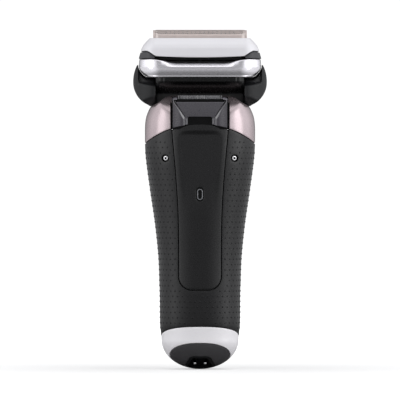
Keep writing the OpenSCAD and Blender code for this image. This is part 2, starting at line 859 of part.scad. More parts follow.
// A row of round blades on a carrier
module cutter(y) {
    count = 17;
    blade_t = 0.5;
    r = foil_r - 0.45;
    half = blade_pitch * (count - 1) / 2;
    color([0.72, 0.72, 0.74]) translate([0, head_y + y, 0]) difference() {
        union() {
            translate([-half - 1.4, -2.5, carrier_low])
                cube([2 * half + 2.8, 5, carrier_high - carrier_low]);
            intersection() {
                for (i = [0:count - 1])
                    translate([0, 0, foil_axis_z])
                        along_x(i * blade_pitch - half - blade_t / 2, i * blade_pitch - half + blade_t / 2, r);
                translate([-reach, -r, carrier_high - 0.5]) cube([2 * reach, 2 * r, 10]);
            }
        }
        translate([0, 0, carrier_low - 1])
            cylinder(r = drive_pin_r + 0.05, h = drive_hole_top - carrier_low + 1, $fn = 32);
    }
}

module middle_comb() {
    top = 158.3;
    half_t = 1.2;
    color([0.75, 0.75, 0.77]) translate([0, head_y, 0]) difference() {
        union() {
            translate([-foil_hl, -half_t, 152.4]) cube([2 * foil_hl, 2 * half_t, top - 152.4]);
            for (side = [-1, 1]) scale([side, 1, 1])
                translate([foil_hl - 0.01, -half_t, holder_low]) cube([1.1, 2 * half_t, 8.2]);
        }
        translate([1 - foil_hl, 0.35 - half_t, 140])
            cube([2 * foil_hl - 2, 2 * half_t - 0.7, top - 140.5]);
        for (x = [-19.2:1.6:19.3])
            translate([x - 0.4, -5, 156.4]) cube([0.8, 10, 5]);
    }
}

module middle_blade() {
    half_t = 0.75;
    color([0.7, 0.7, 0.72]) translate([0, head_y, 0]) difference() {
        union() {
            translate([-17.5, -half_t, 151.9]) cube([35, 2 * half_t, 5.6]);
            translate([-17.5, -1.3, carrier_low]) cube([35, 2.6, 2.4]);
        }
        translate([0, 0, carrier_low - 1])
            cylinder(r = middle_pin_r + 0.05, h = drive_hole_top - carrier_low + 1, $fn = 32);
        for (x = [-16.8:1.6:16.9])
            translate([x - 0.4, -5, 155.6]) cube([0.8, 10, 5]);
    }
}

// ---- Trimmer ----

// The trimmer's own frame: its z runs along the slide, its y points into the handle
module in_trimmer() {
    translate([0, -15.3, plate_top]) rotate([trimmer_lean, 0, 0]) children();
}

// An outline in the trimmer's x and z, from depth y0 to y1
module slab(y0, y1) {
    translate([0, y1, 0]) rotate([90, 0, 0]) linear_extrude(y1 - y0) children();
}

module cover_outline() {
    polygon([[-11.3, 13.2], [-7.2, 6.4], [-6.7, 5.6], [-6.7, 1.9],
        [6.7, 1.9], [6.7, 5.6], [7.2, 6.4], [11.3, 13.2]]);
}

module catch_outline() {
    translate([0, 4.4]) round_rect(5.6, 1.8, 1.6);
}

module trimmer_cover() {
    color([0.26, 0.25, 0.27]) in_trimmer() difference() {
        slab(-1, cover_back) cover_outline();
        slab(-2, 1) catch_outline();
    }
}

// Trimmer teeth: a body with a row of teeth on top
module teeth(y0, y1, body_hw, foot_hw, foot_z, tip_z, count) {
    root = 14.3;
    slab(y0, y1) {
        polygon([[-foot_hw, foot_z], [foot_hw, foot_z], [body_hw, foot_z + 1.6], [body_hw, root],
            [-body_hw, root], [-body_hw, foot_z + 1.6]]);
        for (i = [0:count - 1])
            translate([(i - (count - 1) / 2) * tooth_pitch - 0.29, root - 0.01])
                square([0.58, tip_z - root]);
    }
}

module trimmer_comb() {
    color([0.85, 0.85, 0.87]) in_trimmer() teeth(0, 0.5, 10.8, 9.9, 11.3, 16.15, 21);
}

module trimmer_blade() {
    half = 10.8 - trimmer_swing - 0.4;
    color([0.78, 0.78, 0.8]) in_trimmer() teeth(0.55, 1, half, half - 0.8, 11.5, 15.9, 18);
}

module trimmer_carriage() {
    color([0.12, 0.12, 0.13]) in_trimmer() {
        slab(1.1, 3.7) translate([0, 6.6]) square([13, 13], center = true);
        slab(2.5, 3.7) translate([0, -3.2]) square([13, 12], center = true);
        slab(cover_back, 1.2) translate([0, 4.4]) square([13, 4.8], center = true);
    }
}

module trimmer_bay() {
    bay_high = 14;
    color([0.2, 0.19, 0.21]) resize([0, 0, 0]) difference() {
        intersection() {
            in_trimmer() union() {
                slab(-0.2, 14) translate([0, bay_high / 2])
                    square([2 * bay_hw, bay_high], center = true);
                slab(2.2, 5.4) translate([0, -5]) square([17, 11.2], center = true);
            }
            union() {
                translate([-reach, -reach, plate_top - 0.3])
                    cube([2 * reach, reach + bay_back, reach]);
                translate([-8.8, -reach, 101.5]) cube([17.6, reach + bay_back, reach]);
            }
        }
        in_trimmer() {
            slab(-3, 1.35) {
                offset(delta = clear) cover_outline();
                translate([0, 20]) square([2 * 11.3 + 2 * clear, 13.6], center = true);
            }
            slab(-3, 4) translate([0, 10.2]) square([13 + 2 * clear, 40], center = true);
        }
    }
}

rubber_grip();
shoulder_cap();
inner_housing();
back_plate();
thumb_marker();
front_plate();
display_window();
handle_screws();
bottom_ring();
bottom_cap();
inlet_socket();
inlet_pins();
chassis();
battery();
battery_tabs();
circuit_board();
power_switch();
power_button();
power_bezel();
head_lock_slider();
head_yoke();
neck_seal();
pivot_pins();
pivot_bushes();
head_shell();
head_ring();
head_deck();
drive_coil();
drive_guides();
drive_armature();
release_button_left();
release_button_right();
cassette_base();
cassette_frame();
foil_springs(-1);  // foil_rear_springs
foil_springs(1);  // foil_front_springs
middle_springs();
foil(-foil_y);  // foil_rear
foil_holder(-foil_y);  // foil_rear_frame
foil(foil_y);  // foil_front
foil_holder(foil_y);  // foil_front_frame
cutter(-foil_y);  // cutter_rear
cutter(foil_y);  // cutter_front
middle_comb();
middle_blade();
trimmer_bay();
trimmer_carriage();
trimmer_cover();
trimmer_comb();
trimmer_blade();
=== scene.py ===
"""Looks of an electric foil shaver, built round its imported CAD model. Shapes are in millimetres."""
import math

import bpy
import numpy as np
from mathutils import Matrix, Vector
from mathutils.geometry import delaunay_2d_cdt
from mathutils.kdtree import KDTree


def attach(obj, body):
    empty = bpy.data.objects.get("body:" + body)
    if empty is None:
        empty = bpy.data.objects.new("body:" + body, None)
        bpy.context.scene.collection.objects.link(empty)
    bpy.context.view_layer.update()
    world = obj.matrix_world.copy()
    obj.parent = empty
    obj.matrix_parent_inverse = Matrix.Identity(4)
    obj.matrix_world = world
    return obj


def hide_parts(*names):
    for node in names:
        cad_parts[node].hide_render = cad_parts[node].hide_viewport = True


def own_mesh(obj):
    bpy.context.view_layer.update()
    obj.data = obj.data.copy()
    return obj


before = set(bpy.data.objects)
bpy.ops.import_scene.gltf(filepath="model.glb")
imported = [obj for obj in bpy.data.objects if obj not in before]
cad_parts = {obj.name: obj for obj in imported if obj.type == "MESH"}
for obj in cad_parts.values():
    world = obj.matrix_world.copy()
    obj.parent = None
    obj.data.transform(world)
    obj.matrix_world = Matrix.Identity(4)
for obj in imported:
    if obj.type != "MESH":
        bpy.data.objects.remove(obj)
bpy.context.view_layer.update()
scene = bpy.context.scene
MM = 0.001


# ---- Shape of the handle: the CAD source's numbers, but with the shoulder's dome and arch raised ----

END_H = 14.0
END_LEAN = 3.0
SQUARENESS = 2.5
DOME_Z = 112.8
DOME_R = 16.4
ARCH_Z = 66.3
ARCH_R = 62.5
ARCH_RISE = 2.3
LINE_Z = 73.5
LINE_R = 42.0
SEAM = 0.15
BACK = -1
FRONT = 1
# Height, half width, half depth, how far the middle lies to the front
SECTIONS = [
    (END_H, 18.2, 13.4, 0),
    (21, 18.9, 13.9, 0.2),
    (36, 19.1, 14.3, 0.6),
    (52, 19.6, 14.8, 0.8),
    (68, 21.2, 15.4, 0.8),
    (84, 23.5, 15.9, 0.5),
    (100, 25.6, 16.2, 0),
    (109, 26.0, 16.1, 0),
    (118, 25.6, 16, 0),
    (124, 23.4, 16, 0),
    (131, 20, 16, 0),
]
# Height and half width of the back plate's window, above its round lower corners
WINDOW = [(43.7, 10.3), (66, 10.4), (78, 10.8), (91.6, 11.7), (102, 12.6), (113, 13.5), (130, 13.5)]
WINDOW_CORNER = (3.7, 43.7)
WINDOW_CORNER_R = 6.6


def curve_slope(table, i, k):
    """Slope of value k at row i of a table, level at the first row."""
    if i == 0:
        return 0.0
    low = table[i - 1]
    high = table[min(i + 1, len(table) - 1)]
    return (high[k] - low[k]) / (high[0] - low[0])


def curve_value(table, z, k):
    """Smooth curve through value k of the rows of a table, at height z."""
    i = max([j for j in range(len(table) - 1) if table[j][0] <= z], default=0)
    h = table[i + 1][0] - table[i][0]
    t = (z - table[i][0]) / h
    a, b = table[i][k], table[i + 1][k]
    ma, mb = curve_slope(table, i, k) * h, curve_slope(table, i + 1, k) * h
    t2, t3 = t * t, t * t * t
    return (2 * t3 - 3 * t2 + 1) * a + (t3 - 2 * t2 + t) * ma + (3 * t2 - 2 * t3) * b + (t3 - t2) * mb


def section(z):
    """Half width, half depth and middle of the handle at height z."""
    share = 1.0 if z >= END_H else math.sqrt(max(0.0, 1 - ((END_H - z) / END_H) ** 2))
    middle = curve_value(SECTIONS, z, 3) if z >= END_H else END_LEAN * ((END_H - z) / END_H) ** 2
    z = max(z, END_H)
    return curve_value(SECTIONS, z, 1) * share, curve_value(SECTIONS, z, 2) * share, middle


def around(angle, z):
    """Point of the handle's surface at height z, in the direction angle from its middle."""
    a, b, middle = section(z)
    c, s = math.cos(angle), math.sin(angle)
    r = (abs(c) ** SQUARENESS + abs(s) ** SQUARENESS) ** (-1 / SQUARENESS)
    return Vector((a * r * c, middle + b * r * s, z))


def surface_angle(x, z, side):
    """Direction of the surface point at x, z on the back or the front."""
    u = min(1.0, abs(x) / section(z)[0])
    v = (1 - u ** SQUARENESS) ** (1 / SQUARENESS)
    return math.atan2(side * v, math.copysign(u, x))


def surface_normal(angle, z):
    """Outward direction of the handle's surface at height z."""
    ahead = around(angle + 0.01, z) - around(angle - 0.01, z)
    above = around(angle, z + 0.1) - around(angle, z - 0.1)
    return ahead.cross(above).normalized()


def lengths_round(z, first, last, samples):
    """Directions at height z from first to last, and how long the surface is up to each."""
    angles = np.linspace(first, last, samples)
    points = np.array([around(a, z) for a in angles])
    steps = np.linalg.norm(np.diff(points, axis=0), axis=1)
    return angles, np.concatenate([[0], np.cumsum(steps)])


def outside_by(p):
    """About how far a point lies outside the handle with its domed shoulder: negative inside."""
    a, b, middle = section(p.z)
    size = (abs(p.x / a) ** SQUARENESS + abs((p.y - middle) / b) ** SQUARENESS) ** (1 / SQUARENESS)
    walls = [
        (size - 1) * min(a, b),
        math.hypot(p.y, max(0.0, p.z - DOME_Z)) - DOME_R,
        math.hypot(p.x, p.z - ARCH_Z) - ARCH_R - ARCH_RISE * (1 - smoothstep(14, 21, abs(p.x))),
    ]
    soft = 0.45
    top = max(walls)
    return top + soft * math.log(sum(math.exp((w - top) / soft) for w in walls))


def cast(start, direction, low, high):
    """The point along a line where it leaves the handle."""
    for _ in range(26):
        middle = (low + high) / 2
        if outside_by(start + direction * middle) < 0:
            low = middle
        else:
            high = middle
    return start + direction * low


def smoothstep(a, b, x):
    t = min(1.0, max(0.0, (x - a) / (b - a)))
    return t * t * (3 - 2 * t)


# ---- Mesh tools ----


def add_object(name, verts, faces):
    """A smooth mesh object from points in millimetres."""
    mesh = bpy.data.meshes.new(name)
    mesh.from_pydata([Vector(v) * MM for v in verts], [], faces)
    mesh.polygons.foreach_set("use_smooth", [True] * len(mesh.polygons))
    piece = bpy.data.objects.new(name, mesh)
    scene.collection.objects.link(piece)
    return piece


def arc_points(center, r, a0, a1, steps):
    """Points of a flat arc, angles in degrees."""
    angles = [math.radians(a0 + (a1 - a0) * i / steps) for i in range(steps + 1)]
    return [(center[0] + r * math.cos(a), center[1] + r * math.sin(a)) for a in angles]


def resample(loop, step):
    """A closed flat loop with a point about every step along it, its corners kept."""
    points = []
    for i, p in enumerate(loop):
        q = loop[(i + 1) % len(loop)]
        count = max(1, round(math.dist(p, q) / step))
        points += [(p[0] + (q[0] - p[0]) * k / count, p[1] + (q[1] - p[1]) * k / count) for k in range(count)]
    return points


def inside_loop(points, loop):
    """For each flat point, whether it lies inside the closed loop."""
    p = np.asarray(points, float)
    a = np.asarray(loop, float)
    b = np.roll(a, -1, axis=0)
    hit = np.zeros(len(p), bool)
    for (x0, y0), (x1, y1) in zip(a, b):
        if y0 == y1:
            continue
        crosses = (y0 > p[:, 1]) != (y1 > p[:, 1])
        hit ^= crosses & (p[:, 0] < (x1 - x0) * (p[:, 1] - y0) / (y1 - y0) + x0)
    return hit


def signed_area(loop):
    a = np.asarray(loop, float)
    b = np.roll(a, -1, axis=0)
    return 0.5 * float(np.sum(a[:, 0] * b[:, 1] - b[:, 0] * a[:, 1]))


def vertex_normals(verts, faces):
    sums = [Vector((0, 0, 0)) for _ in verts]
    for f in faces:
        a, b, c = (verts[i] for i in f[:3])
        normal = (b - a).cross(c - a)
        for i in f:
            sums[i] += normal
    return [s.normalized() for s in sums]


def edge_profile(roll, wall, steps=4):
    """Rolled edge as (outwards, inwards) steps: a quarter round and then a straight wall."""
    turns = [math.pi / 2 * (k + 1) / steps for k in range(steps)]
    return [(roll * math.sin(t), roll * (1 - math.cos(t))) for t in turns] + [(roll, wall)]


def skin(name, outer, holes, inner, to_space, spacing, roll=0.3, wall=1.2, flip=False):
    """A closed skin over a flat region that to_space lifts into place, with rolled edges.

    outer and holes are the region's flat loops, which lie roll inside the true edge, and inner are the
    flat points that fill it. flip is for a lift that turns the region's front to the inside.
    """
    loops = [outer if signed_area(outer) > 0 else outer[::-1]]
    loops += [h if signed_area(h) < 0 else h[::-1] for h in holes]
    flat = [p for loop in loops for p in loop]
    spans = []
    edges = []
    start = 0
    for loop in loops:
        n = len(loop)
        edges += [(start + i, start + (i + 1) % n) for i in range(n)]
        spans.append((start, n))
        start += n
    space = [to_space(*p) for p in flat]
    tree = KDTree(len(flat))
    for i, p in enumerate(space):
        tree.insert(p, i)
    tree.balance()
    keep = inside_loop(inner, loops[0])
    for loop in loops[1:]:
        keep &= ~inside_loop(inner, loop)
    for p in (q for q, k in zip(inner, keep) if k):
        lifted = to_space(*p)
        if tree.find(lifted)[2] > 0.6 * spacing:
            flat.append(p)
            space.append(lifted)
    out = delaunay_2d_cdt([Vector(p) for p in flat], edges, [], 0, 1e-7)
    new_flat, faces, origin = out[0], out[2], out[3]
    centers = [tuple(sum((new_flat[i] for i in f), Vector((0, 0))) / len(f)) for f in faces]
    keep = inside_loop(centers, loops[0])
    for loop in loops[1:]:
        keep &= ~inside_loop(centers, loop)
    verts = [space[o[0]] if o else to_space(*new_flat[i]) for i, o in enumerate(origin)]
    where = {o: i for i, group in enumerate(origin) for o in group}
    faces = [tuple(reversed(f)) if flip else tuple(f) for f, k in zip(faces, keep) if k]
    normals = vertex_normals(verts, faces)
    under = {}
    face_count = len(faces)
    for start, n in spans:
        ring = [where[start + i] for i in range(n)]
        previous = ring
        frames = [rim_frame(verts, normals, ring, i, flip) for i in range(n)]
        for out_by, in_by in edge_profile(roll, wall):
            base = len(verts)
            verts += [p + m * out_by - w * in_by for p, m, w in frames]
            current = list(range(base, base + n))
            for i in range(n):
                quad = (previous[i], current[i], current[(i + 1) % n], previous[(i + 1) % n])
                faces.append(tuple(reversed(quad)) if flip else quad)
            previous = current
        under.update(zip(ring, previous))
    for f in faces[:face_count]:
        for i in f:
            if i not in under:
                under[i] = len(verts)
                verts.append(verts[i] - normals[i] * wall)
        faces.append(tuple(under[i] for i in reversed(f)))
    used = sorted({i for f in faces for i in f})
    short = {i: k for k, i in enumerate(used)}
    return add_object(name, [verts[i] for i in used], [tuple(short[i] for i in f) for f in faces])


def rim_frame(verts, normals, ring, i, flip):
    """A rim point, its direction out of the piece, and its outward normal."""
    tangent = verts[ring[(i + 1) % len(ring)]] - verts[ring[i - 1]]
    normal = normals[ring[i]]
    outwards = tangent.cross(normal) * (-1 if flip else 1)
    return verts[ring[i]], outwards.normalized(), normal


def grid_points(u0, u1, v0, v1, step):
    """Flat points in staggered rows."""
    rows = int((v1 - v0) / (0.87 * step)) + 1
    columns = int((u1 - u0) / step) + 1
    return [(u0 + step * (i + 0.5 * (j % 2)), v0 + 0.87 * step * j)
            for j in range(rows) for i in range(columns)]


def tube_faces(rings, n, closed=False):
    """Faces between rings of n points each."""
    count = rings if closed else rings - 1
    return [(r * n + i, r * n + (i + 1) % n, (r + 1) % rings * n + (i + 1) % n, (r + 1) % rings * n + i)
            for r in range(count) for i in range(n)]


def loft(name, rings):
    """A closed skin through rings of points, each ring with the same count."""
    n = len(rings[0])
    base = (len(rings) - 1) * n
    verts = [p for ring in rings for p in ring]
    faces = tube_faces(len(rings), n) + [tuple(range(n))[::-1], tuple(range(base, base + n))]
    return add_object(name, verts, face_outwards(verts, faces))


def face_outwards(verts, faces):
    """Turns all faces of a closed body round if they face inwards."""
    volume = 0.0
    for f in faces:
        for i in range(1, len(f) - 1):
            volume += verts[f[0]].dot(verts[f[i]].cross(verts[f[i + 1]]))
    return faces if volume > 0 else [f[::-1] for f in faces]


def node_mesh(node):
    """Points in millimetres and faces of a CAD node."""
    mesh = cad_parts[node].data
    return [v.co / MM for v in mesh.vertices], [tuple(p.vertices) for p in mesh.polygons]


def rounded_copy(name, nodes, voxel, rounds, extras=()):
    """A piece in the shape of CAD nodes, and of extra bodies joined to them, with all its edges softened."""
    verts = []
    faces = []
    bodies = [node_mesh(node) for node in nodes]
    bodies += [(more_verts, face_outwards(more_verts, more_faces)) for more_verts, more_faces in extras]
    for more_verts, more_faces in bodies:
        base = len(verts)
        verts += more_verts
        faces += [tuple(base + i for i in f) for f in more_faces]
    piece = add_object(name, verts, faces)
    remesh = piece.modifiers.new("Remesh", "REMESH")
    remesh.mode = "VOXEL"
    remesh.voxel_size = voxel * MM
    remesh.use_smooth_shade = True
    smooth = piece.modifiers.new("Smooth", "SMOOTH")
    smooth.factor = 0.5
    smooth.iterations = rounds
    graph = bpy.context.evaluated_depsgraph_get()
    mesh = bpy.data.meshes.new_from_object(piece.evaluated_get(graph))
    piece.modifiers.clear()
    piece.data = mesh
    return piece


# ---- Materials ----


def link(tree, a, b):
    tree.links.new(a, b)


def noise_node(tree, coordinates, scale, detail=3.0, stretch=(1, 1, 1)):
    """A noise texture in object space. scale counts features per metre."""
    mapping = tree.nodes.new("ShaderNodeMapping")
    mapping.inputs["Scale"].default_value = stretch
    noise = tree.nodes.new("ShaderNodeTexNoise")
    noise.inputs["Scale"].default_value = scale
    noise.inputs["Detail"].default_value = detail
    link(tree, coordinates, mapping.inputs["Vector"])
    link(tree, mapping.outputs["Vector"], noise.inputs["Vector"])
    return noise.outputs["Fac"]


def range_node(tree, value, low, high, start=0.3, stop=0.7):
    node = tree.nodes.new("ShaderNodeMapRange")
    node.inputs["From Min"].default_value = start
    node.inputs["From Max"].default_value = stop
    node.inputs["To Min"].default_value = low
    node.inputs["To Max"].default_value = high
    link(tree, value, node.inputs["Value"])
    return node.outputs["Result"]


def mix_node(tree, factor, a, b):
    """Mixes two colours, each a colour or an output."""
    node = tree.nodes.new("ShaderNodeMix")
    node.data_type = "RGBA"
    link(tree, factor, node.inputs["Factor"])
    for value, key in ((a, "A"), (b, "B")):
        socket = [s for s in node.inputs if s.name == key and s.type == "RGBA"][0]
        if isinstance(value, tuple):
            socket.default_value = value
        else:
            link(tree, value, socket)
    return [s for s in node.outputs if s.type == "RGBA"][0]


def math_node(tree, operation, a, b):
    node = tree.nodes.new("ShaderNodeMath")
    node.operation = operation
    link(tree, a, node.inputs[0])
    link(tree, b, node.inputs[1])
    return node.outputs["Value"]


def shade(color, factor):
    return tuple(min(1.0, c * factor) for c in color[:3]) + (1.0,)


def linear(r, g, b):
    """A colour picked by its 8-bit display values."""
    def channel(value):
        return ((value / 255 + 0.055) / 1.055) ** 2.4 if value > 10 else value / 255 / 12.92

    return channel(r), channel(g), channel(b), 1.0


MATERIALS = {}


def material(name, color, rough, metallic=0.0, vary=0.12, patch=90, grain=2500, bump=0.05, depth=0.02,
             stretch=(1, 1, 1), rough_vary=0.25, wear=0.0, wear_color=None, coat=0.0, specular=0.5):
    """A finish with uneven colour, uneven gloss, a fine grain and, where wear is given, rubbed edges."""
    made = bpy.data.materials.new(name)
    made.use_nodes = True
    tree = made.node_tree
    shader = tree.nodes["Principled BSDF"]
    coordinates = tree.nodes.new("ShaderNodeTexCoord").outputs["Object"]
    cloud = noise_node(tree, coordinates, patch, 4.0)
    fine = noise_node(tree, coordinates, grain, 3.0, stretch)
    tint = mix_node(tree, range_node(tree, cloud, 0, 1), shade(color, 1 - vary), shade(color, 1 + vary))
    speck = mix_node(tree, range_node(tree, fine, 0, 0.35), tint, shade(color, 1 - 2.5 * vary))
    if wear > 0:
        edge = tree.nodes.new("ShaderNodeNewGeometry").outputs["Pointiness"]
        rub = range_node(tree, edge, 0, wear, 0.53, 0.6)
        speck = mix_node(tree, rub, speck, wear_color or shade(color, 2.2))
    link(tree, speck, shader.inputs["Base Color"])
    gloss = range_node(tree, fine, rough * (1 - rough_vary), min(1.0, rough * (1 + rough_vary)))
    link(tree, gloss, shader.inputs["Roughness"])
    relief = tree.nodes.new("ShaderNodeBump")
    relief.inputs["Strength"].default_value = bump
    relief.inputs["Distance"].default_value = depth * MM
    link(tree, fine, relief.inputs["Height"])
    link(tree, relief.outputs["Normal"], shader.inputs["Normal"])
    shader.inputs["Metallic"].default_value = metallic
    shader.inputs["Specular IOR Level"].default_value = specular
    if coat > 0:
        shader.inputs["Coat Weight"].default_value = coat
        shader.inputs["Coat Roughness"].default_value = 0.06
    MATERIALS[name] = made
    return made


material("grip_rubber", linear(17, 17, 19), 0.36, vary=0.06, patch=60, grain=5200, bump=0.15, depth=0.02,
         wear=0.2, wear_color=linear(50, 50, 54), specular=0.5)
material("grip_dot", linear(17, 17, 19), 0.5, vary=0.1, grain=5200, bump=0.2, wear=0.4, specular=0.35,
         wear_color=linear(50, 50, 54))
material("champagne", linear(184, 170, 173), 0.24, metallic=0.75, vary=0.02, patch=40, grain=6000, bump=0.008,
         rough_vary=0.08, wear=0.35, wear_color=linear(226, 216, 216), coat=0.15)
material("black_plastic", linear(26, 26, 28), 0.5, vary=0.1, grain=3500, bump=0.12, wear=0.3)
material("plate_matte", linear(11, 11, 13), 0.27, vary=0.06, patch=50, grain=4600, bump=0.06, depth=0.02,
         wear=0.3, wear_color=linear(46, 46, 50), specular=0.6)
material("marker_grey", linear(112, 113, 116), 0.35, vary=0.08, grain=4000, wear=0.3, metallic=0.3)
material("gloss_black", linear(8, 8, 9), 0.24, vary=0.12, grain=1500, bump=0.03, wear=0.2,
         wear_color=linear(40, 40, 44), specular=0.35)
material("display_glass", linear(8, 9, 13), 0.06, vary=0.1, grain=900, bump=0.01, coat=1.0)
material("screw_steel", linear(236, 236, 238), 0.22, metallic=1.0, vary=0.05, grain=2500, wear=0.4)
material("satin_silver", linear(246, 244, 247), 0.4, metallic=0.2, vary=0.03, patch=40, grain=3800, bump=0.1,
         stretch=(0.08, 1, 1), wear=0.4, wear_color=linear(250, 249, 251))
material("cap_black", linear(60, 59, 61), 0.38, vary=0.08, grain=4200, bump=0.12, wear=0.35,
         wear_color=linear(92, 92, 95))
material("shadow_black", linear(9, 9, 10), 0.7, vary=0.15, grain=3000, wear=0.1, specular=0.15)
material("inlet_black", linear(16, 16, 17), 0.4, vary=0.15, grain=3000, wear=0.3)
material("pin_chrome", linear(238, 238, 240), 0.12, metallic=1.0, vary=0.05, grain=2500, wear=0.3)
material("grey_plastic", linear(92, 92, 96), 0.5, vary=0.1, grain=2600, bump=0.15, wear=0.3)
material("battery_sleeve", linear(70, 128, 88), 0.35, vary=0.1, grain=1200, bump=0.06, coat=0.3, wear=0.2)
material("nickel", linear(196, 194, 186), 0.28, metallic=1.0, vary=0.08, grain=2500, wear=0.4)
material("board_green", linear(24, 92, 52), 0.38, vary=0.15, grain=1400, bump=0.1, coat=0.2, wear=0.3)
material("chrome_trim", linear(226, 226, 229), 0.14, metallic=1.0, vary=0.04, grain=3200, wear=0.3)
material("yoke_grey", linear(21, 22, 24), 0.5, vary=0.06, patch=50, grain=5000, bump=0.2, wear=0.3,
         wear_color=linear(62, 63, 66), specular=0.4)
material("seal_rubber", linear(24, 24, 25), 0.6, vary=0.12, grain=4200, bump=0.3, wear=0.3)
material("bush_brass", linear(196, 158, 88), 0.3, metallic=1.0, vary=0.1, grain=2500, wear=0.4)
material("coil_copper", linear(184, 104, 56), 0.35, metallic=1.0, vary=0.12, grain=5200, bump=0.5,
         stretch=(0.1, 1, 1), wear=0.3)
material("armature_steel", linear(132, 132, 140), 0.35, metallic=0.9, vary=0.1, grain=3000, wear=0.3)
material("button_grey", linear(62, 62, 66), 0.42, vary=0.08, grain=4200, bump=0.15, wear=0.35,
         wear_color=linear(104, 104, 108))
material("frame_silver", linear(232, 231, 235), 0.42, metallic=0.2, vary=0.02, patch=40, grain=5200,
         bump=0.06, wear=0.4, wear_color=linear(252, 252, 253))
material("ring_silver", linear(246, 244, 249), 0.22, metallic=0.9, vary=0.012, patch=40, grain=5200,
         bump=0.02, depth=0.01, rough_vary=0.1, wear=0.15, wear_color=linear(250, 250, 252))
material("foil_metal", linear(204, 191, 187), 0.36, metallic=0.35, vary=0.06, patch=400, grain=2600,
         bump=0.15, wear=0.4, wear_color=linear(240, 232, 228))
material("blade_steel", linear(186, 186, 190), 0.25, metallic=1.0, vary=0.08, grain=4200, bump=0.1,
         stretch=(1, 1, 0.1), wear=0.4)
material("bay_gloss", linear(64, 61, 68), 0.26, vary=0.06, patch=60, grain=4200, bump=0.04, wear=0.5,
         wear_color=linear(132, 128, 138), coat=0.8, specular=1.0)
material("cover_grey", linear(76, 74, 80), 0.3, vary=0.06, patch=60, grain=4200, bump=0.05, wear=0.45,
         wear_color=linear(118, 115, 124), coat=0.6, specular=1.0)


def finish_piece(piece, body, look, slot, *replaced):
    """Gives a piece its finish and its body, and hides the CAD nodes that it stands for."""
    piece.data.materials.clear()
    piece.data.materials.append(MATERIALS[look])
    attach(piece, body)
    if replaced:
        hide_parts(*replaced)
    return piece


# ---- Handle: grip, shoulder, plates ----

GRIP_STEP = 1.1
GRIP_WALL = 1.2
PLATE_WALL = 1.1
DOT_PITCH_X = 2.4
DOT_PITCH_Z = 2.5
DOT_LOW = 12
DOT_HIGH = 110
DOT_R = 0.42
DOT_H = 0.15
DOT_SIDES = 8
DOMAIN_TOP = 138.0
WINDOW_GAP = 0.4
RING_HIGH_Z = 15.2
RING_HIGH_SLOPE = 0.36
RING_LOW_Z = 4.6
RING_LOW_SLOPE = 0.33
RING_LOW_CURVE = 0.02
SCREW_X = 16.3
SCREW_Z = 99.4
SCREW_HOLE_R = 1.72
FRONT_HW = 8.6
FRONT_LOW = 34.0
FRONT_HIGH = 112.0


def grip_flat(angle, z):
    """The grip's flat region is a ring round the handle's axis, wider the lower on the handle."""
    rho = DOMAIN_TOP - z
    return rho * math.cos(angle), rho * math.sin(angle)


def grip_space(u, v):
    """The grip's surface point for a flat one."""
    return around(math.atan2(v, u), DOMAIN_TOP - math.hypot(u, v))


def height_on(angle, rule, start):
    """Height at which the surface in a direction meets a rule that gives z from the point there."""
    z = start
    for _ in range(20):
        z = rule(around(angle, z))
    return z


def window_side(grow, top):
    """Right side of the back window from its top to the middle of its lower end, as x and z."""
    low = WINDOW_CORNER[1]
    count = int((top - low) / 0.8)
    side = [top + (low - top) * i / count for i in range(count)]
    points = [(curve_value(WINDOW, z, 1) + grow, z) for z in side]
    corner = arc_points(WINDOW_CORNER, WINDOW_CORNER_R + grow, 0, -90, 14)
    return points + corner + [(WINDOW_CORNER[0] - 0.6 * i, corner[-1][1]) for i in range(1, 6)]


def mirrored(points):
    return [(-x, z) for x, z in reversed(points)]


def shoulder_line(radius, x_stop):
    """The line between grip and shoulder from the window's right edge round the front to its left edge."""
    def rule(p):
        return LINE_Z + math.sqrt(radius ** 2 - p.x ** 2)

    z0 = LINE_Z + math.sqrt(radius ** 2 - x_stop ** 2)
    first = surface_angle(x_stop, z0, BACK)
    last = math.pi - first
    count = 190
    angles = [first + (last - first) * i / count for i in range(count + 1)]
    return [(a, height_on(a, rule, 110.0)) for a in angles]


def stadium(hw, low, high, steps=28):
    """Upright pill outline in x and z."""
    top = arc_points((0, high - hw), hw, 0, 180, steps)
    bottom = arc_points((0, low + hw), hw, 180, 360, steps)
    return top + bottom


def surface_grid(step, low, high):
    """Staggered points all round the handle: direction and height."""
    points = []
    rows = int((high - low) / (0.87 * step))
    for j in range(rows + 1):
        z = low + (high - low) * j / rows
        points += [(a, z) for a in even_angles(z, step, 0.5 * (j % 2))]
    return points


def even_angles(z, step, shift):
    """Directions of points at even distances round the handle at height z, from the back's middle."""
    angles, length = lengths_round(z, -math.pi / 2, 1.5 * math.pi, 241)
    count = max(8, round(length[-1] / step))
    return list(np.interp((np.arange(count) + shift) * length[-1] / count, length, angles))


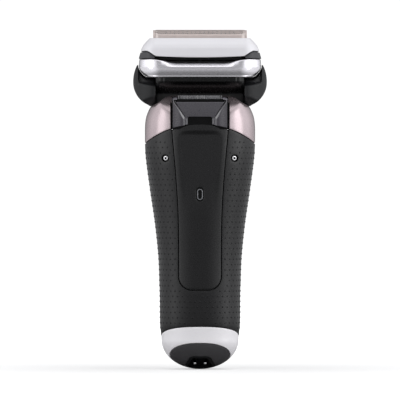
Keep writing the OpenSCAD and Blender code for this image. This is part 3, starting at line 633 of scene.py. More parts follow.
def make_grip():
    roll = 0.22
    window_top = LINE_Z + math.sqrt((LINE_R - SEAM - roll) ** 2 - 13.6 ** 2)
    right = window_side(roll, window_top)
    back = mirrored(right)[::-1]
    path = [(surface_angle(x, z, BACK), z) for x, z in back + right[::-1]]
    line = shoulder_line(LINE_R - SEAM - roll, curve_value(WINDOW, window_top, 1) + roll)
    inner_loop = [grip_flat(a, z) for a, z in path + line[1:-1]]
    count = 220

    def low_rule(p):
        return ring_high(p) + SEAM + roll

    low_edge = [2 * math.pi * i / count for i in range(count)]
    outer = [grip_flat(a, height_on(a, low_rule, 15.0)) for a in low_edge]
    front = [grip_flat(surface_angle(x, z, FRONT), z)
             for x, z in resample(stadium(FRONT_HW + roll, FRONT_LOW - roll, FRONT_HIGH + roll), 0.9)]
    screws = []
    for side in (-1, 1):
        ring = arc_points((side * SCREW_X, SCREW_Z), SCREW_HOLE_R + roll, 0, 345, 23)
        screws.append([grip_flat(surface_angle(x, z, BACK), z) for x, z in ring])
    inner = [grip_flat(a, z) for a, z in surface_grid(GRIP_STEP, 10, 116)]
    grip = skin("Grip", outer, [inner_loop, front] + screws, inner, grip_space, GRIP_STEP, roll, GRIP_WALL)
    finish_piece(grip, "handle", "grip_rubber", "grip_rubber", "rubber_grip")


def dot_points(p, normal):
    """Three rings and the tip of a little dome that stands on the surface at p."""
    side = normal.cross(Vector((0, 0, 1))).normalized()
    up = side.cross(normal)
    turns = [2 * math.pi * k / DOT_SIDES for k in range(DOT_SIDES)]
    points = []
    for share, lift in ((1.0, -0.02), (0.92, 0.4), (0.62, 0.82)):
        middle = p + normal * (DOT_H * lift)
        points += [middle + (side * math.cos(t) + up * math.sin(t)) * (DOT_R * share) for t in turns]
    return points + [p + normal * DOT_H]


def make_dots():
    """Rows of small domes over the grip, clear of its edges and screws."""
    verts = []
    faces = []
    for j in range(int((DOT_HIGH - DOT_LOW) / DOT_PITCH_Z)):
        z = DOT_LOW + DOT_PITCH_Z * j
        angles, length = lengths_round(z, -math.pi / 2, math.pi / 2, 161)
        spots = np.arange(0.5 * (j % 2) * DOT_PITCH_X, length[-1], DOT_PITCH_X)
        for angle in np.interp(spots, length, angles):
            for sign in (1, -1):
                on_middle = abs(angle + math.pi / 2) < 1e-6
                p = around(angle, z)
                if (sign < 0 and on_middle) or not dot_fits(p):
                    continue
                normal = surface_normal(angle, z)
                p.x *= sign
                normal.x *= sign
                base = len(verts)
                verts += dot_points(p, normal)
                faces += [tuple(base + i for i in f) for f in tube_faces(3, DOT_SIDES)]
                top = base + 2 * DOT_SIDES
                tip = base + 3 * DOT_SIDES
                faces += [(top + k, top + (k + 1) % DOT_SIDES, tip) for k in range(DOT_SIDES)]
    dots = add_object("Grip_dots", verts, faces)
    finish_piece(dots, "handle", "grip_dot", "grip_rubber")


def dot_fits(p):
    """Whether a dot at p keeps clear of the grip's edges, its screws and its two windows."""
    margin = 1.3
    if p.z < ring_high(p) + 2.0:
        return False
    if math.hypot(p.x, p.z - LINE_Z) > LINE_R - 2.2 and p.z > LINE_Z:
        return False
    if math.hypot(abs(p.x) - SCREW_X, p.z - SCREW_Z) < 3.2 and p.y < 0:
        return False
    if p.y < 0:
        return not in_window(abs(p.x) - margin, p.z)
    low = FRONT_LOW + FRONT_HW
    high = FRONT_HIGH - FRONT_HW
    nearest = min(max(p.z, low), high)
    return math.hypot(p.x, p.z - nearest) > FRONT_HW + margin


def in_window(x, z):
    """Whether a place on the back lies in the back plate's window or just below it."""
    below = 1.2
    if z >= WINDOW_CORNER[1]:
        return x < curve_value(WINDOW, z, 1)
    if z < WINDOW_CORNER[1] - WINDOW_CORNER_R - below:
        return False
    reach = (WINDOW_CORNER_R + below) ** 2 - (z - WINDOW_CORNER[1]) ** 2
    return x < WINDOW_CORNER[0] + math.sqrt(max(0, reach))


CAP_EYE = Vector((0, 0, 100))
CAP_SCALE = 40.0
HEAD_Y = 1.0
BAY_BACK = -9.9
BAY_HW = 13.8
NECK_HD = 3.2
EAR_X = 20.2


def cap_space(u, v):
    """The shoulder is seen from a point inside the handle: the flat point gives the direction."""
    polar = math.hypot(u, v) / CAP_SCALE
    turn = math.atan2(v, u)
    direction = Vector((math.sin(polar) * math.cos(turn), math.sin(polar) * math.sin(turn), math.cos(polar)))
    return cast(CAP_EYE, direction, 2.0, 40.0)


def cap_flat(p):
    """The shoulder's flat point for a point of its surface."""
    d = (p - CAP_EYE).normalized()
    polar = math.acos(d.z) * CAP_SCALE
    turn = math.atan2(d.y, d.x)
    return polar * math.cos(turn), polar * math.sin(turn)


def on_back(x, z):
    """The shoulder's point straight behind x, z."""
    return cast(Vector((x, 0, z)), Vector((0, -1, 0)), 0.0, 25.0)


def on_top(x, y):
    """The shoulder's point straight above x, y."""
    return cast(Vector((x, y, 100)), Vector((0, 0, 1)), 0.0, 35.0)


def make_shoulder():
    """The metal cap between grip and head, open over the trimmer's bay and under the ears and the neck."""
    roll = 0.2
    radius = LINE_R + SEAM + roll
    x = BAY_HW + roll
    line = [around(a, z) for a, z in shoulder_line(radius, x)]
    z0 = LINE_Z + math.sqrt(radius ** 2 - x ** 2)
    y_edge = BAY_BACK + roll
    z1 = on_top(x, y_edge).z
    rise = [on_back(x, z0 + (z1 - z0) * i / 16) for i in range(1, 16)]
    across = [on_top(x - 2 * x * i / 40, y_edge) for i in range(41)]
    climb = [Vector((-p.x, p.y, p.z)) for p in rise]
    outer = [cap_flat(p) for p in line + climb + across[::-1] + rise[::-1]]
    neck = NECK_HD - 0.3
    ear = [(EAR_X, -neck), (20.8, -5.9), (21.4, -5.9), (22.3, -4.5),
           (22.3, 4.5), (21.4, 5.9), (20.8, 5.9), (EAR_X, neck)]
    foot = ear + [(-px, py) for px, py in reversed(ear)]
    hole = [cap_flat(on_top(px, HEAD_Y + py)) for px, py in resample(foot, 0.8)]
    step = 0.7
    inner = grid_points(-62, 62, -62, 62, step * 1.4)
    cap = skin("Shoulder_cap", outer, [hole], inner, cap_space, step, roll, PLATE_WALL)
    finish_piece(cap, "handle", "champagne", "champagne", "shoulder_cap")


DISH_DEPTH = 0.75
DISH_TOP = 112.6
DISH_HW = 10.9
DISH_CORNER = 4.2


def dish_fade(z):
    """The thumb dish grows from nothing to its full depth between two heights."""
    return smoothstep(72, 103, z)


def dish(x, z):
    """Share of the thumb dish in the back plate: a rounded rectangle that fades out downwards."""
    top = DISH_TOP
    corner = DISH_CORNER
    half = DISH_HW - 0.08 * max(0.0, 106 - z)
    dx = abs(x) - (half - corner)
    dz = z - (top - corner)
    if dx > 0 and dz > 0:
        inside = corner - math.hypot(dx, dz)
    else:
        inside = corner - max(dx, dz)
    return smoothstep(0, 2.2, inside) * dish_fade(z)


def make_back_plate():
    """The plate on the back, arched on top and dished for the thumb, with an opening for the marker."""
    roll = 0.25
    gap = WINDOW_GAP + roll
    radius = LINE_R - 0.25 - roll
    x_top = 13.5 - gap
    top = LINE_Z + math.sqrt(radius ** 2 - x_top ** 2)
    right = window_side(-gap, top)[1:]
    left = mirrored(right)[::-1]
    arc = [(-x_top + 2 * x_top * i / 36, 0) for i in range(1, 36)]
    arc = [(x, LINE_Z + math.sqrt(radius ** 2 - x ** 2)) for x, _ in arc]
    outer = left + right[::-1] + [(x, z) for x, z in reversed(arc)]
    hole_hh = MARKER_HOLE_HH + roll
    marker = stadium(MARKER_HOLE_HW + roll, MARKER_Z - hole_hh, MARKER_Z + hole_hh, 10)
    step = 0.75

    def lift(x, z):
        p = around(surface_angle(x, z, BACK), z)
        floor = around(-math.pi / 2, z).y + DISH_DEPTH
        p.y += max(0.0, floor - p.y) * dish(x, z)
        return p

    inner = grid_points(-14, 14, 36, 117, step)
    plate = skin("Back_plate", outer, [marker], inner, lift, step, roll, PLATE_WALL)
    finish_piece(plate, "handle", "plate_matte", "plate_matte", "back_plate")


MARKER_Z = 82.4
MARKER_HOLE_HW = 1.8
MARKER_HOLE_HH = 3.3
BEAD_HW = 1.1
BEAD_HH = 2.4
BEAD_WIDE = 0.24
BEAD_HIGH = 0.26


def make_thumb_marker():
    """A pale pill-shaped bead, and a black sheet behind it that fills the plate's hole: painted shade of the
    hole.
    """
    base = around(-math.pi / 2, MARKER_Z)
    span = 3
    slope = (around(-math.pi / 2, MARKER_Z + span).y - around(-math.pi / 2, MARKER_Z - span).y) / (2 * span)

    def place(x, out_by, z):
        return Vector((x, base.y + DISH_DEPTH * dish_fade(z) + slope * (z - MARKER_Z) - out_by, z))

    path = stadium(BEAD_HW, MARKER_Z - BEAD_HH, MARKER_Z + BEAD_HH, 12)
    n = len(path)
    sides = 8
    verts = []
    for i, (x, z) in enumerate(path):
        ahead = Vector(path[(i + 1) % n]) - Vector(path[i - 1])
        out = Vector((ahead.y, -ahead.x)).normalized()
        for k in range(sides):
            t = 2 * math.pi * k / sides
            q = out * (BEAD_WIDE * math.cos(t))
            verts.append(place(x + q.x, 0.05 + BEAD_HIGH * math.sin(t), z + q.y))
    bead = add_object("Thumb_marker_bead", verts, [f[::-1] for f in tube_faces(n, sides, True)])
    finish_piece(bead, "handle", "marker_grey", "marker_grey", "thumb_marker")
    # Black sheet just behind the bead, as big as the plate's hole: painted shade of the gap round the bead.
    outer = stadium(MARKER_HOLE_HW, MARKER_Z - MARKER_HOLE_HH, MARKER_Z + MARKER_HOLE_HH, 10)
    inner = grid_points(-2, 2, 78, 87, 0.5)
    hole_shade = skin("Thumb_marker_hole_shade", outer, [], inner, lambda x, z: place(x, -0.12, z), 0.5, 0.1, 0.6)
    finish_piece(hole_shade, "handle", "shadow_black", "marker_grey")


BUTTON_Z = 86.0
BEZEL_R = 6.9
DISPLAY_Z = 50
DISPLAY_HW = 3.6
DISPLAY_HH = 9
SLOT_Z = 102.2
SLOT_HW = 3.4
SLOT_HH = 4.9


def rounded_rect_loop(cx, cz, hw, hh, r, steps=6):
    """A flat rounded rectangle round cx, cz."""
    corners = ((hw - r, hh - r, 0), (r - hw, hh - r, 90), (r - hw, r - hh, 180), (hw - r, r - hh, 270))
    return [p for x, z, a in corners for p in arc_points((cx + x, cz + z), r, a, a + 90, steps)]


def make_front_plate():
    """The glossy front plate with its openings for display, slider and button, and the display's glass."""
    roll = 0.25
    grow = roll + 0.1
    outer = resample(stadium(FRONT_HW - 0.2 - roll, FRONT_LOW + 0.2 + roll, FRONT_HIGH - 0.2 - roll, 22), 0.8)
    display = resample(rounded_rect_loop(0, DISPLAY_Z, DISPLAY_HW + grow, DISPLAY_HH + grow, 2.2), 0.8)
    slot = resample(rounded_rect_loop(0, SLOT_Z, SLOT_HW + roll, SLOT_HH + roll, 0.9), 0.7)
    bezel = arc_points((0, BUTTON_Z), BEZEL_R + 0.05 + roll, 0, 353, 50)

    def lift(x, z):
        return around(surface_angle(x, z, FRONT), z)

    step = 0.8
    inner = grid_points(-9, 9, 34, 113, step)
    plate = skin("Front_plate", outer, [display, slot, bezel], inner, lift, step, roll, PLATE_WALL, True)
    finish_piece(plate, "handle", "gloss_black", "gloss_black", "front_plate")
    edge = 0.2
    outer = resample(rounded_rect_loop(0, DISPLAY_Z, DISPLAY_HW - edge, DISPLAY_HH - edge, 1.9), 0.7)

    def lift_glass(x, z):
        return lift(x, z) - Vector((0, 0.12, 0))

    inner = grid_points(-4, 4, 40, 60, 0.7)
    glass = skin("Display_window", outer, [], inner, lift_glass, 0.7, edge, 1.0, True)
    finish_piece(glass, "handle", "display_glass", "display_glass", "display_window")


def ring_high(p):
    """Height of the slanting edge between the grip and the lower ring."""
    return RING_HIGH_Z - RING_HIGH_SLOPE * p.y


def ring_low(p):
    """Height of the slanting, slightly curved edge between the lower ring and the cap."""
    return RING_LOW_Z - RING_LOW_SLOPE * p.y + RING_LOW_CURVE * p.y ** 2


def band_round(name, low, high, steps, roll, look, slot, node):
    """A band round the handle between two edges, each a rule that gives its height."""
    n = 180
    angles = [2 * math.pi * i / n for i in range(n)]

    def edge(rule, shift):
        return [height_on(a, lambda p: rule(p) + shift, END_H / 2) for a in angles]

    z_low = edge(low, roll)
    z_high = edge(high, -roll)
    rings = []
    for k in range(steps + 1):
        t = k / steps
        rings.append([around(a, z0 + (z1 - z0) * t) for a, z0, z1 in zip(angles, z_low, z_high)])
    axis = [Vector((0, section(z)[2], z)) for z in z_low]

    def rolled(ring, away, turn):
        points = []
        for i, p in enumerate(ring):
            tangent = (ring[(i + 1) % n] - ring[i - 1]).normalized()
            along = (away[i] - p).normalized()
            normal = tangent.cross(along).normalized()
            if normal.dot(p - axis[i]) < 0:
                normal = -normal
            out_by, in_by = turn
            points.append(p - along * out_by - normal * in_by)
        return points

    profile = edge_profile(roll, GRIP_WALL)
    lower = [rolled(rings[0], rings[1], turn) for turn in profile]
    upper = [rolled(rings[-1], rings[-2], turn) for turn in profile]
    band = lower[::-1] + rings + upper
    verts = [p for ring in band for p in ring]
    piece = add_object(name, verts, tube_faces(len(band), n, True))
    return finish_piece(piece, "handle", look, slot, node)


INLET_TIP = Vector((0, -4.9, 2.4))
INLET_TURN = Matrix.Rotation(math.radians(-45), 3, "X")
CAP_ARC = 14.0


def end_flat(angle, z):
    """The lower end's flat region: distance from its tip along the dome, in the point's direction."""
    rho = CAP_ARC * math.acos(max(-1.0, min(1.0, 1 - z / END_H)))
    return rho * math.cos(angle), rho * math.sin(angle)


def end_space(u, v):
    """The lower end's surface point for a flat one."""
    z = END_H * (1 - math.cos(math.hypot(u, v) / CAP_ARC))
    return around(math.atan2(v, u), max(z, 1e-4))


def inlet_outline(grow):
    """The inlet's rounded trapezoid, in its own x and y."""
    corners = [(-3.6, -5), (3.6, -5), (6.5, 4.5), (-6.5, 4.5)]
    r = 1.5 + grow
    middles = [(-2.65, -3.5), (2.65, -3.5), (4.55, 3.0), (-4.55, 3.0)]
    points = []
    for i, (x, y) in enumerate(middles):
        before = corners[i - 1]
        after = corners[(i + 1) % 4]
        here = corners[i]
        a0 = math.atan2(here[1] - before[1], here[0] - before[0]) - math.pi / 2
        a1 = math.atan2(after[1] - here[1], after[0] - here[0]) - math.pi / 2
        while a1 < a0:
            a1 += 2 * math.pi
        points += arc_points((x, y), r, math.degrees(a0), math.degrees(a1), 6)
    return points


def inlet_on_surface(x, y):
    """Angle and height where the line along the inlet's axis at its x, y leaves the handle's lower end."""
    start = INLET_TIP + INLET_TURN @ Vector((x, y, 9))
    direction = INLET_TURN @ Vector((0, 0, -1))
    low, high = 0.0, 20.0
    for _ in range(30):
        middle = (low + high) / 2
        p = start + direction * middle
        a, b, c = section(max(p.z, 1e-4))
        size = abs(p.x / a) ** SQUARENESS + abs((p.y - c) / b) ** SQUARENESS
        if p.z > 0 and size < 1:
            low = middle
        else:
            high = middle
    p = start + direction * low
    a, b, c = section(max(p.z, 1e-4))
    return math.atan2((p.y - c) / b, p.x / a), max(p.z, 1e-4)


def make_lower_end():
    """The silver ring at the lower end, and the cap under it with the inlet's opening."""
    band_round("Lower_ring", ring_low, ring_high, 14, 0.3, "satin_silver", "satin_silver", "bottom_ring")
    roll = 0.25
    n = 160

    def rule(p):
        return ring_low(p) - SEAM - roll

    angles = [2 * math.pi * i / n for i in range(n)]
    outer = [end_flat(a, height_on(a, rule, 5.0)) for a in angles]
    hole = [end_flat(*inlet_on_surface(x, y)) for x, y in resample(inlet_outline(1.4 + roll), 0.7)]
    inner = grid_points(-22, 22, -22, 22, 1.0)
    cap = skin("Lower_cap", outer, [hole], inner, end_space, 0.9, roll, PLATE_WALL, True)
    finish_piece(cap, "handle", "cap_black", "cap_black", "bottom_cap")


# ---- Head: rings swept round a rounded rectangle ----


def plan_path(hw, hd, r, corner_steps=14, marks=()):
    """Points round a rounded rectangle as (middle x, middle y, outward x, outward y).

    The outline is middle + r * outward. marks are extra places along the long sides.
    """
    x = hw - r
    y = hd - r
    long_side = sorted(set([x * t for t in np.linspace(-1, 1, 34)[1:-1]] + [m for m in marks if abs(m) < x]))
    short_side = [y * t for t in np.linspace(-1, 1, 8)[1:-1]]

    def corner(cx, cy, a0):
        turns = [math.radians(a0 + 90 * k / corner_steps) for k in range(corner_steps + 1)]
        return [(cx, cy, math.cos(t), math.sin(t)) for t in turns]

    path = corner(x, -y, -90) + [(x, s, 1, 0) for s in short_side]
    path += corner(x, y, 0) + [(s, y, 0, 1) for s in reversed(long_side)]
    path += corner(-x, y, 90) + [(-x, s, -1, 0) for s in reversed(short_side)]
    path += corner(-x, -y, 180) + [(s, -y, 0, -1) for s in long_side]
    return path


def swept_columns(path, r, profile):
    """Sections along a path. profile gives (inset at the ends, inset at the sides, z) for an x and for
    how far the path faces a side there: 0 at the ends and 1 along the long sides."""
    columns = []
    for cx, cy, dx, dy in path:
        reach_x = cx + dx * r
        column = []
        for inset_x, inset_y, z in profile(reach_x, dy * dy):
            inset = inset_x * dx * dx + inset_y * dy * dy
            column.append(Vector((cx + dx * (r - inset), HEAD_Y + cy + dy * (r - inset), z)))
        columns.append(column)
    return columns


def swept(name, path, r, profile):
    """A closed loop of a section swept round a path."""
    rings = list(zip(*swept_columns(path, r, profile)))
    faces = tube_faces(len(rings), len(path), True)
    return add_object(name, [p for ring in rings for p in ring], faces)


def rounded_profile(points, radius, steps=4):
    """Rounds the corners of a closed profile of (inset x, inset y, z) points."""
    result = []
    n = len(points)
    for i, p in enumerate(points):
        before = Vector(points[i - 1])
        here = Vector(p)
        after = Vector(points[(i + 1) % n])
        a = before - here
        b = after - here
        cut = min(radius, 0.45 * a.length, 0.45 * b.length)
        start = here + a.normalized() * cut
        stop = here + b.normalized() * cut
        for k in range(steps + 1):
            t = k / steps
            result.append(tuple(start.lerp(here, t).lerp(here.lerp(stop, t), t)))
    return result


RING_HW, RING_HD, RING_R = 28.8, 14.5, 10.0
FLOOR_LOW, FLOOR_HIGH = 138.35, 140.4


def ring_profile(x, side):
    """Section of the head ring: a bevel on top that ends short of the corners, and a round underside with a
    small bead along its lower edge."""
    facet = 1 - smoothstep(13.4, 19.4, abs(x))
    top = 144.6 + 1.6 * smoothstep(10.5, 24.5, abs(x))
    low = 138.0 - 0.45 * side
    end = 1 - side
    return [
        (5.2, 2.2, low + 0.05),
        (4.2, 1.4, low),
        (3.4, 0.9, low + 0.12 + 0.1 * end),
        (3.0 - 0.15 * end, 0.85, low + 0.45),
        (2.5 - 0.2 * end, 1.1, low + 0.75),
        (1.6, 0.5, low + 1.45),
        (0.75, 0.15, low + 2.5),
        (0.2, 0.02, low + 3.6),
        (0.0, 0.0, 142.2),
        (0.0, 0.12 * facet, 142.5),
        (0.05, 1.35 * facet + 0.1, top - 0.5),
        (0.3, 1.75 * facet + 0.35, top - 0.15),
        (0.8, 1.95 * facet + 0.9, top),
        (1.5, 2.2 * facet + 1.5, top - 0.15),
        (1.7, 2.3 * facet + 1.7, top - 1.2),
        (1.7, 2.3 * facet + 1.7, 141),
        (5.2, 4.6, low + 0.9),
    ]


def make_head_ring():
    """The polished ring, and a dark floor inside it."""
    marks = (-19.4, -18.2, -17, -15.8, -14.6, -13.4, 13.4, 14.6, 15.8, 17, 18.2, 19.4)
    path = plan_path(RING_HW, RING_HD, RING_R, 16, marks)
    ring = swept("Head_ring", path, RING_R, ring_profile)
    finish_piece(ring, "head", "ring_silver", "satin_silver", "head_ring")
    soften(ring, 1)
    flange = rounded_copy("Head_ring_floor", ["head_ring"], 0.5, 2)
    for v in flange.data.vertices:
        x, y = pull_in(v.co.x / MM, v.co.y / MM - HEAD_Y, 25.0, 11.9, 8.0)
        z = min(max(v.co.z / MM, FLOOR_LOW), FLOOR_HIGH)
        v.co = Vector((x, y + HEAD_Y, z)) * MM
    finish_piece(flange, "head", "shadow_black", "gloss_black")


def pull_in(x, y, hw, hd, r):
    """The nearest place to x, y inside a rounded rectangle."""
    cx = max(r - hw, min(hw - r, x))
    cy = max(r - hd, min(hd - r, y))
    away = math.hypot(x - cx, y - cy)
    share = min(1.0, r / away) if away > 0 else 1.0
    return cx + (x - cx) * share, cy + (y - cy) * share


def soften(piece, levels):
    """Subdivides a piece when it is rendered."""
    smooth = piece.modifiers.new("Subdivision", "SUBSURF")
    smooth.levels = levels
    smooth.render_levels = levels


PIVOT_Z = 135.5
SHELL_R = 18.0
SHELL_AXIS_Z = 148.0
SHELL_HW, SHELL_HD, SHELL_CORNER = 20.98, 12.9, 3.4
SHELL_TOP = 138.4
PANEL_RISE = 0.35


def make_head_shell():
    """The glossy lower head: round underneath, with a slightly raised panel on each long side."""
    marks = (-17.5, -17.2, -16.9, -16.6, 16.6, 16.9, 17.2, 17.5)
    path = plan_path(SHELL_HW, SHELL_HD, SHELL_CORNER, 8, marks)
    limit = math.asin(SHELL_HD / SHELL_R)
    steps = 18
    levels = []
    for k in range(steps + 1):
        t = limit * k / steps
        levels.append((SHELL_AXIS_Z - SHELL_R * math.cos(t), max(0.4, SHELL_R * math.sin(t)) / SHELL_HD))
    wall_low = levels[-1][0]
    levels += [(wall_low + (SHELL_TOP - wall_low) * k / 6, 1.0) for k in range(1, 7)]
    rings = []
    for z, share in levels:
        ring = []
        for cx, cy, dx, dy in path:
            x = cx + dx * SHELL_CORNER
            y = (cy + dy * SHELL_CORNER) * share
            panel = PANEL_RISE * (1 - smoothstep(16.7, 17.4, abs(x))) * min(1.0, share * 2) * abs(dy)
            y += math.copysign(panel, y) if share > 0.1 else 0
            ring.append(Vector((x, HEAD_Y + y, z)))
        rings.append(ring)
    shell = loft("Lower_head", rings)
    finish_piece(shell, "head", "gloss_black", "gloss_black", "head_shell")


def make_bellows():
    """Soft folded rubber between the shoulder and the round underside of the lower head."""
    low = 123.0
    hw, hd, corner = 21.5, NECK_HD, 1.6
    path = plan_path(hw, hd, corner, 4)
    folds = 14

    def top(y):
        return SHELL_AXIS_Z - 0.12 - math.sqrt(SHELL_R ** 2 - y ** 2)

    rings = []
    for k in range(folds + 1):
        share = k / folds
        inset = 0.45 if k % 2 else 0.0
        ring = []
        for cx, cy, dx, dy in path:
            y = cy + dy * (corner - inset)
            ring.append(Vector((cx + dx * (corner - inset), HEAD_Y + y, low + share * (top(y) - low))))
        rings.append(ring)
    for share in (0.8, 0.55, 0.3, 0.05):
        depths = [(p.x, (p.y - HEAD_Y) * share) for p in rings[folds]]
        rings.append([Vector((x, HEAD_Y + y, top(y))) for x, y in depths])
    bellows = loft("Neck_bellows", rings)
    finish_piece(bellows, "handle", "seal_rubber", "seal_rubber", "neck_seal")
    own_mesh(bellows)


def frame_low(x):
    """Lower edge of the cassette frame: a slight sag in the middle, and a rise over the release buttons."""
    sag = 0.55 * (1 - min(1.0, (x / 20) ** 2))
    return 147.4 - sag + 2.6 * smoothstep(20, 25.5, abs(x)) - 0.15 * smoothstep(25.5, 28, abs(x))


def frame_profile(x, _side):
    """Section of the cassette frame. Over the release buttons its lower edge is a thin lip."""
    low = frame_low(x)
    mid = max(151.2, low + 0.5)
    lip = 1.4 - 0.95 * smoothstep(17.5, 19.5, abs(x))
    points = [
        (lip, lip, low),
        (0.02, 0.02, low),
        (0.12, 0.06, (low + mid) / 2),
        (0.25, 0.12, mid),
        (1.2, 0.75, mid + (154.4 - mid) * 0.55),
        (2.5, 1.7, 154.4),
        (4.1, 2.75, 156.0),
        (5.35, 3.85, 156.0),
        (5.4, 3.9, 154.8),
        (4.2, 3.3, 153.2),
        (lip + 0.8, lip + 0.6, max(151.6, low + 1.4)),
        (lip, lip, low + 1.0),
    ]
    return rounded_profile(points, 0.35, 3)


def make_cassette_frame():
    """The silver frame round the foils, and the rim inside its top edge."""
    marks = (-25.5, -24.5, -23.5, -22.5, -21.5, -20.5, 20.5, 21.5, 22.5, 23.5, 24.5, 25.5)
    path = plan_path(27.8, 14.2, 7.0, 16, marks)
    piece = swept("Cassette_frame", path, 7.0, frame_profile)
    finish_piece(piece, "cassette", "frame_silver", "frame_silver", "cassette_frame")
    make_cassette_rim()


def button_profile(x, _side):
    """Section of a release button: its face follows the frame's lower edge, its top tucks in behind it."""
    edge = frame_low(x)
    low = 146.45
    points = [
        (3.0, 1.6, low),
        (0.0, 0.0, low),
        (0.8, 0.12, edge - 0.6),
        (1.8, 0.5, edge - 0.45),
        (1.85, 0.35, edge + 0.3),
        (3.0, 1.6, edge + 0.3),
    ]
    return rounded_profile(points, 0.3, 3)


def make_release_buttons():
    """A button round each end of the head, between the frame and the ring."""
    hw, hd, corner = 28.9, 13.4, 7.5
    start = 21.2
    path = plan_path(hw, hd, corner, 20)
    for side, name in ((-1, "left"), (1, "right")):
        part = [p for p in path if side * (p[0] + corner * p[2]) > start]
        if side < 0:
            part = sorted(part, key=lambda p: -math.atan2(p[1] + corner * p[3], -(p[0] + corner * p[2])))
        rings = swept_columns(part, corner, button_profile)
        button = loft(f"Release_button_{name}", rings)
        finish_piece(button, f"release_{name}", "button_grey", "button_grey", f"release_button_{name}")


def make_cassette_rim():
    """Thin bars between the frame's top edge and the foils."""
    z0 = 155.9
    outer = rounded_rect_loop(0, 0, 22.9, 10.95, 1.2, 5)
    hole = rounded_rect_loop(0, 0, 21.3, 10.35, 0.8, 4)

    def lift(u, v):
        return Vector((u, HEAD_Y + v, z0))

    inner = grid_points(-24, 24, -12, 12, 0.5)
    piece = skin("Cassette_rim", resample(outer, 0.8), [resample(hole, 0.8)], inner, lift, 0.5, 0.12, 1.2)
    finish_piece(piece, "cassette", "frame_silver", "frame_silver")


def make_foil(name, y, body, node):
    """A foil arch with its hexagonal holes cut through, and plain strips along both edges."""
    foil_r, half, axis_z, low = 4.2, 21.0, 155.8, 151.3
    pitch = 1.05
    row_h = pitch * math.sqrt(3) / 2
    limit = math.radians(66)
    rows = int(2 * foil_r * limit / row_h)
    columns = int((2 * half - 1.6) / pitch)
    hole = 0.68
    verts = []
    faces = []

    def place(x, s):
        """s is the length along the arch from its top."""
        t = s / foil_r
        return Vector((x, HEAD_Y + y + foil_r * math.sin(t), axis_z + foil_r * math.cos(t)))

    def add_cell(cx, cs, open_cell):
        base = len(verts)
        corners = arc_points((0, 0), 1, 30, 330, 5)
        side = pitch / math.sqrt(3)
        verts.extend(place(max(-half, min(half, cx + side * a)), cs + side * b) for a, b in corners)
        if not open_cell:
            faces.append(tuple(base + k for k in range(6)))
            return
        verts.extend(place(cx + side * hole * a, cs + side * hole * b) for a, b in corners)
        faces.extend((base + k, base + (k + 1) % 6, base + 6 + (k + 1) % 6, base + 6 + k) for k in range(6))

    for j in range(rows):
        s = (j - (rows - 1) / 2) * row_h
        for i in range(columns + 2):
            x = (i - (columns + 1) / 2 + 0.5 * (j % 2)) * pitch
            if abs(x) < half + 0.3:
                add_cell(x, s, abs(x) < half - 1.0)
    edge = (rows - 1) / 2 * row_h + 0.25 * pitch
    turns = np.linspace(edge / foil_r, math.pi / 2, 6)
    down = [(foil_r * math.sin(t), axis_z + foil_r * math.cos(t)) for t in turns]
    down += [(foil_r, (axis_z + low) / 2), (foil_r, low)]
    stations = 25
    for side in (-1, 1):
        base = len(verts)
        xs = np.linspace(-half, half, stations)
        for dy, z in down:
            verts.extend(Vector((x, HEAD_Y + y + side * dy, z)) for x in xs)
        for r in range(len(down) - 1):
            for i in range(stations - 1):
                a = base + r * stations + i
                quad = (a, a + 1, a + stations + 1, a + stations)
                faces.append(quad[::-1] if side > 0 else quad)
    foil = add_object(name, verts, faces)
    weld = foil.modifiers.new("Weld", "WELD")
    weld.merge_threshold = 0.02 * MM
    thick = foil.modifiers.new("Thickness", "SOLIDIFY")
    thick.thickness = 0.12 * MM
    thick.offset = -1
    finish_piece(foil, body, "foil_metal", "foil_metal", node)


# ---- Trimmer on the back ----

TRIMMER_TURN = Matrix.Rotation(math.radians(12), 3, "X")
TRIMMER_AT = Vector((0, -15.3, 113))


def in_trimmer(x, y, z):
    """A point given in the leaning trimmer's own axes."""
    return TRIMMER_AT + TRIMMER_TURN @ Vector((x, y, z))


def plate_line(x):
    """Height along the trimmer at which the back plate's arched top edge is cleared."""
    return (LINE_Z + math.sqrt(LINE_R ** 2 - x ** 2) + 0.2 - 113) / math.cos(math.radians(12)) + 0.05


def make_trimmer():
    """The trimmer's cover with two legs beside its slot, a guard strip above it and a wing each side."""
    roll = 0.15
    legs = plate_line(6.2) + roll
    leg = [(-6.7 + roll, 5.6), (-6.7 + roll, legs), (-5.6 - roll, legs), (-5.6 - roll, 5.6)]
    half = [(-11.3 + 1.5 * roll, 13.2 - roll), (-7.2 + roll, 6.5)] + leg + [(-5.2, 6.2 + roll)]
    outer = half + mirrored(half)

    def face(x, z):
        slot_side = 0.75 * smoothstep(6.9, 5.6, abs(x)) * smoothstep(6.3, 5.4, z)
        return in_trimmer(x, -0.8 - 0.25 * smoothstep(5.5, 9.5, z) + slot_side, z)

    step = 0.45
    inner = grid_points(-12, 12, 0, 14, step)
    cover = skin("Trimmer_cover", resample(outer, step), [], inner, face, step, roll, 0.6)
    finish_piece(cover, "trimmer", "cover_grey", "cover_grey", "trimmer_cover")
    strip = resample(rounded_rect_loop(0, 13.75, 10.9 - 0.1, 0.62, 0.3, 3), 0.5)
    inner = grid_points(-11, 11, 13, 15, 0.5)
    guard = skin("Trimmer_guard", strip, [], inner, lambda x, z: in_trimmer(x, -0.38, z), 0.5, 0.1, 0.3)
    finish_piece(guard, "trimmer", "shadow_black", "black_plastic")
    for side, name in ((-1, "Trimmer_wing_left"), (1, "Trimmer_wing_right")):
        make_wing(side, name)


def line_distance(x, z, line):
    """How far a flat point lies from an open line of points."""
    p = Vector((x, z))
    best = 1e9
    for a, b in zip(line, line[1:]):
        a, b = Vector(a), Vector(b)
        t = min(1.0, max(0.0, (p - a).dot(b - a) / (b - a).length_squared))
        best = min(best, (p - a.lerp(b, t)).length)
    return best


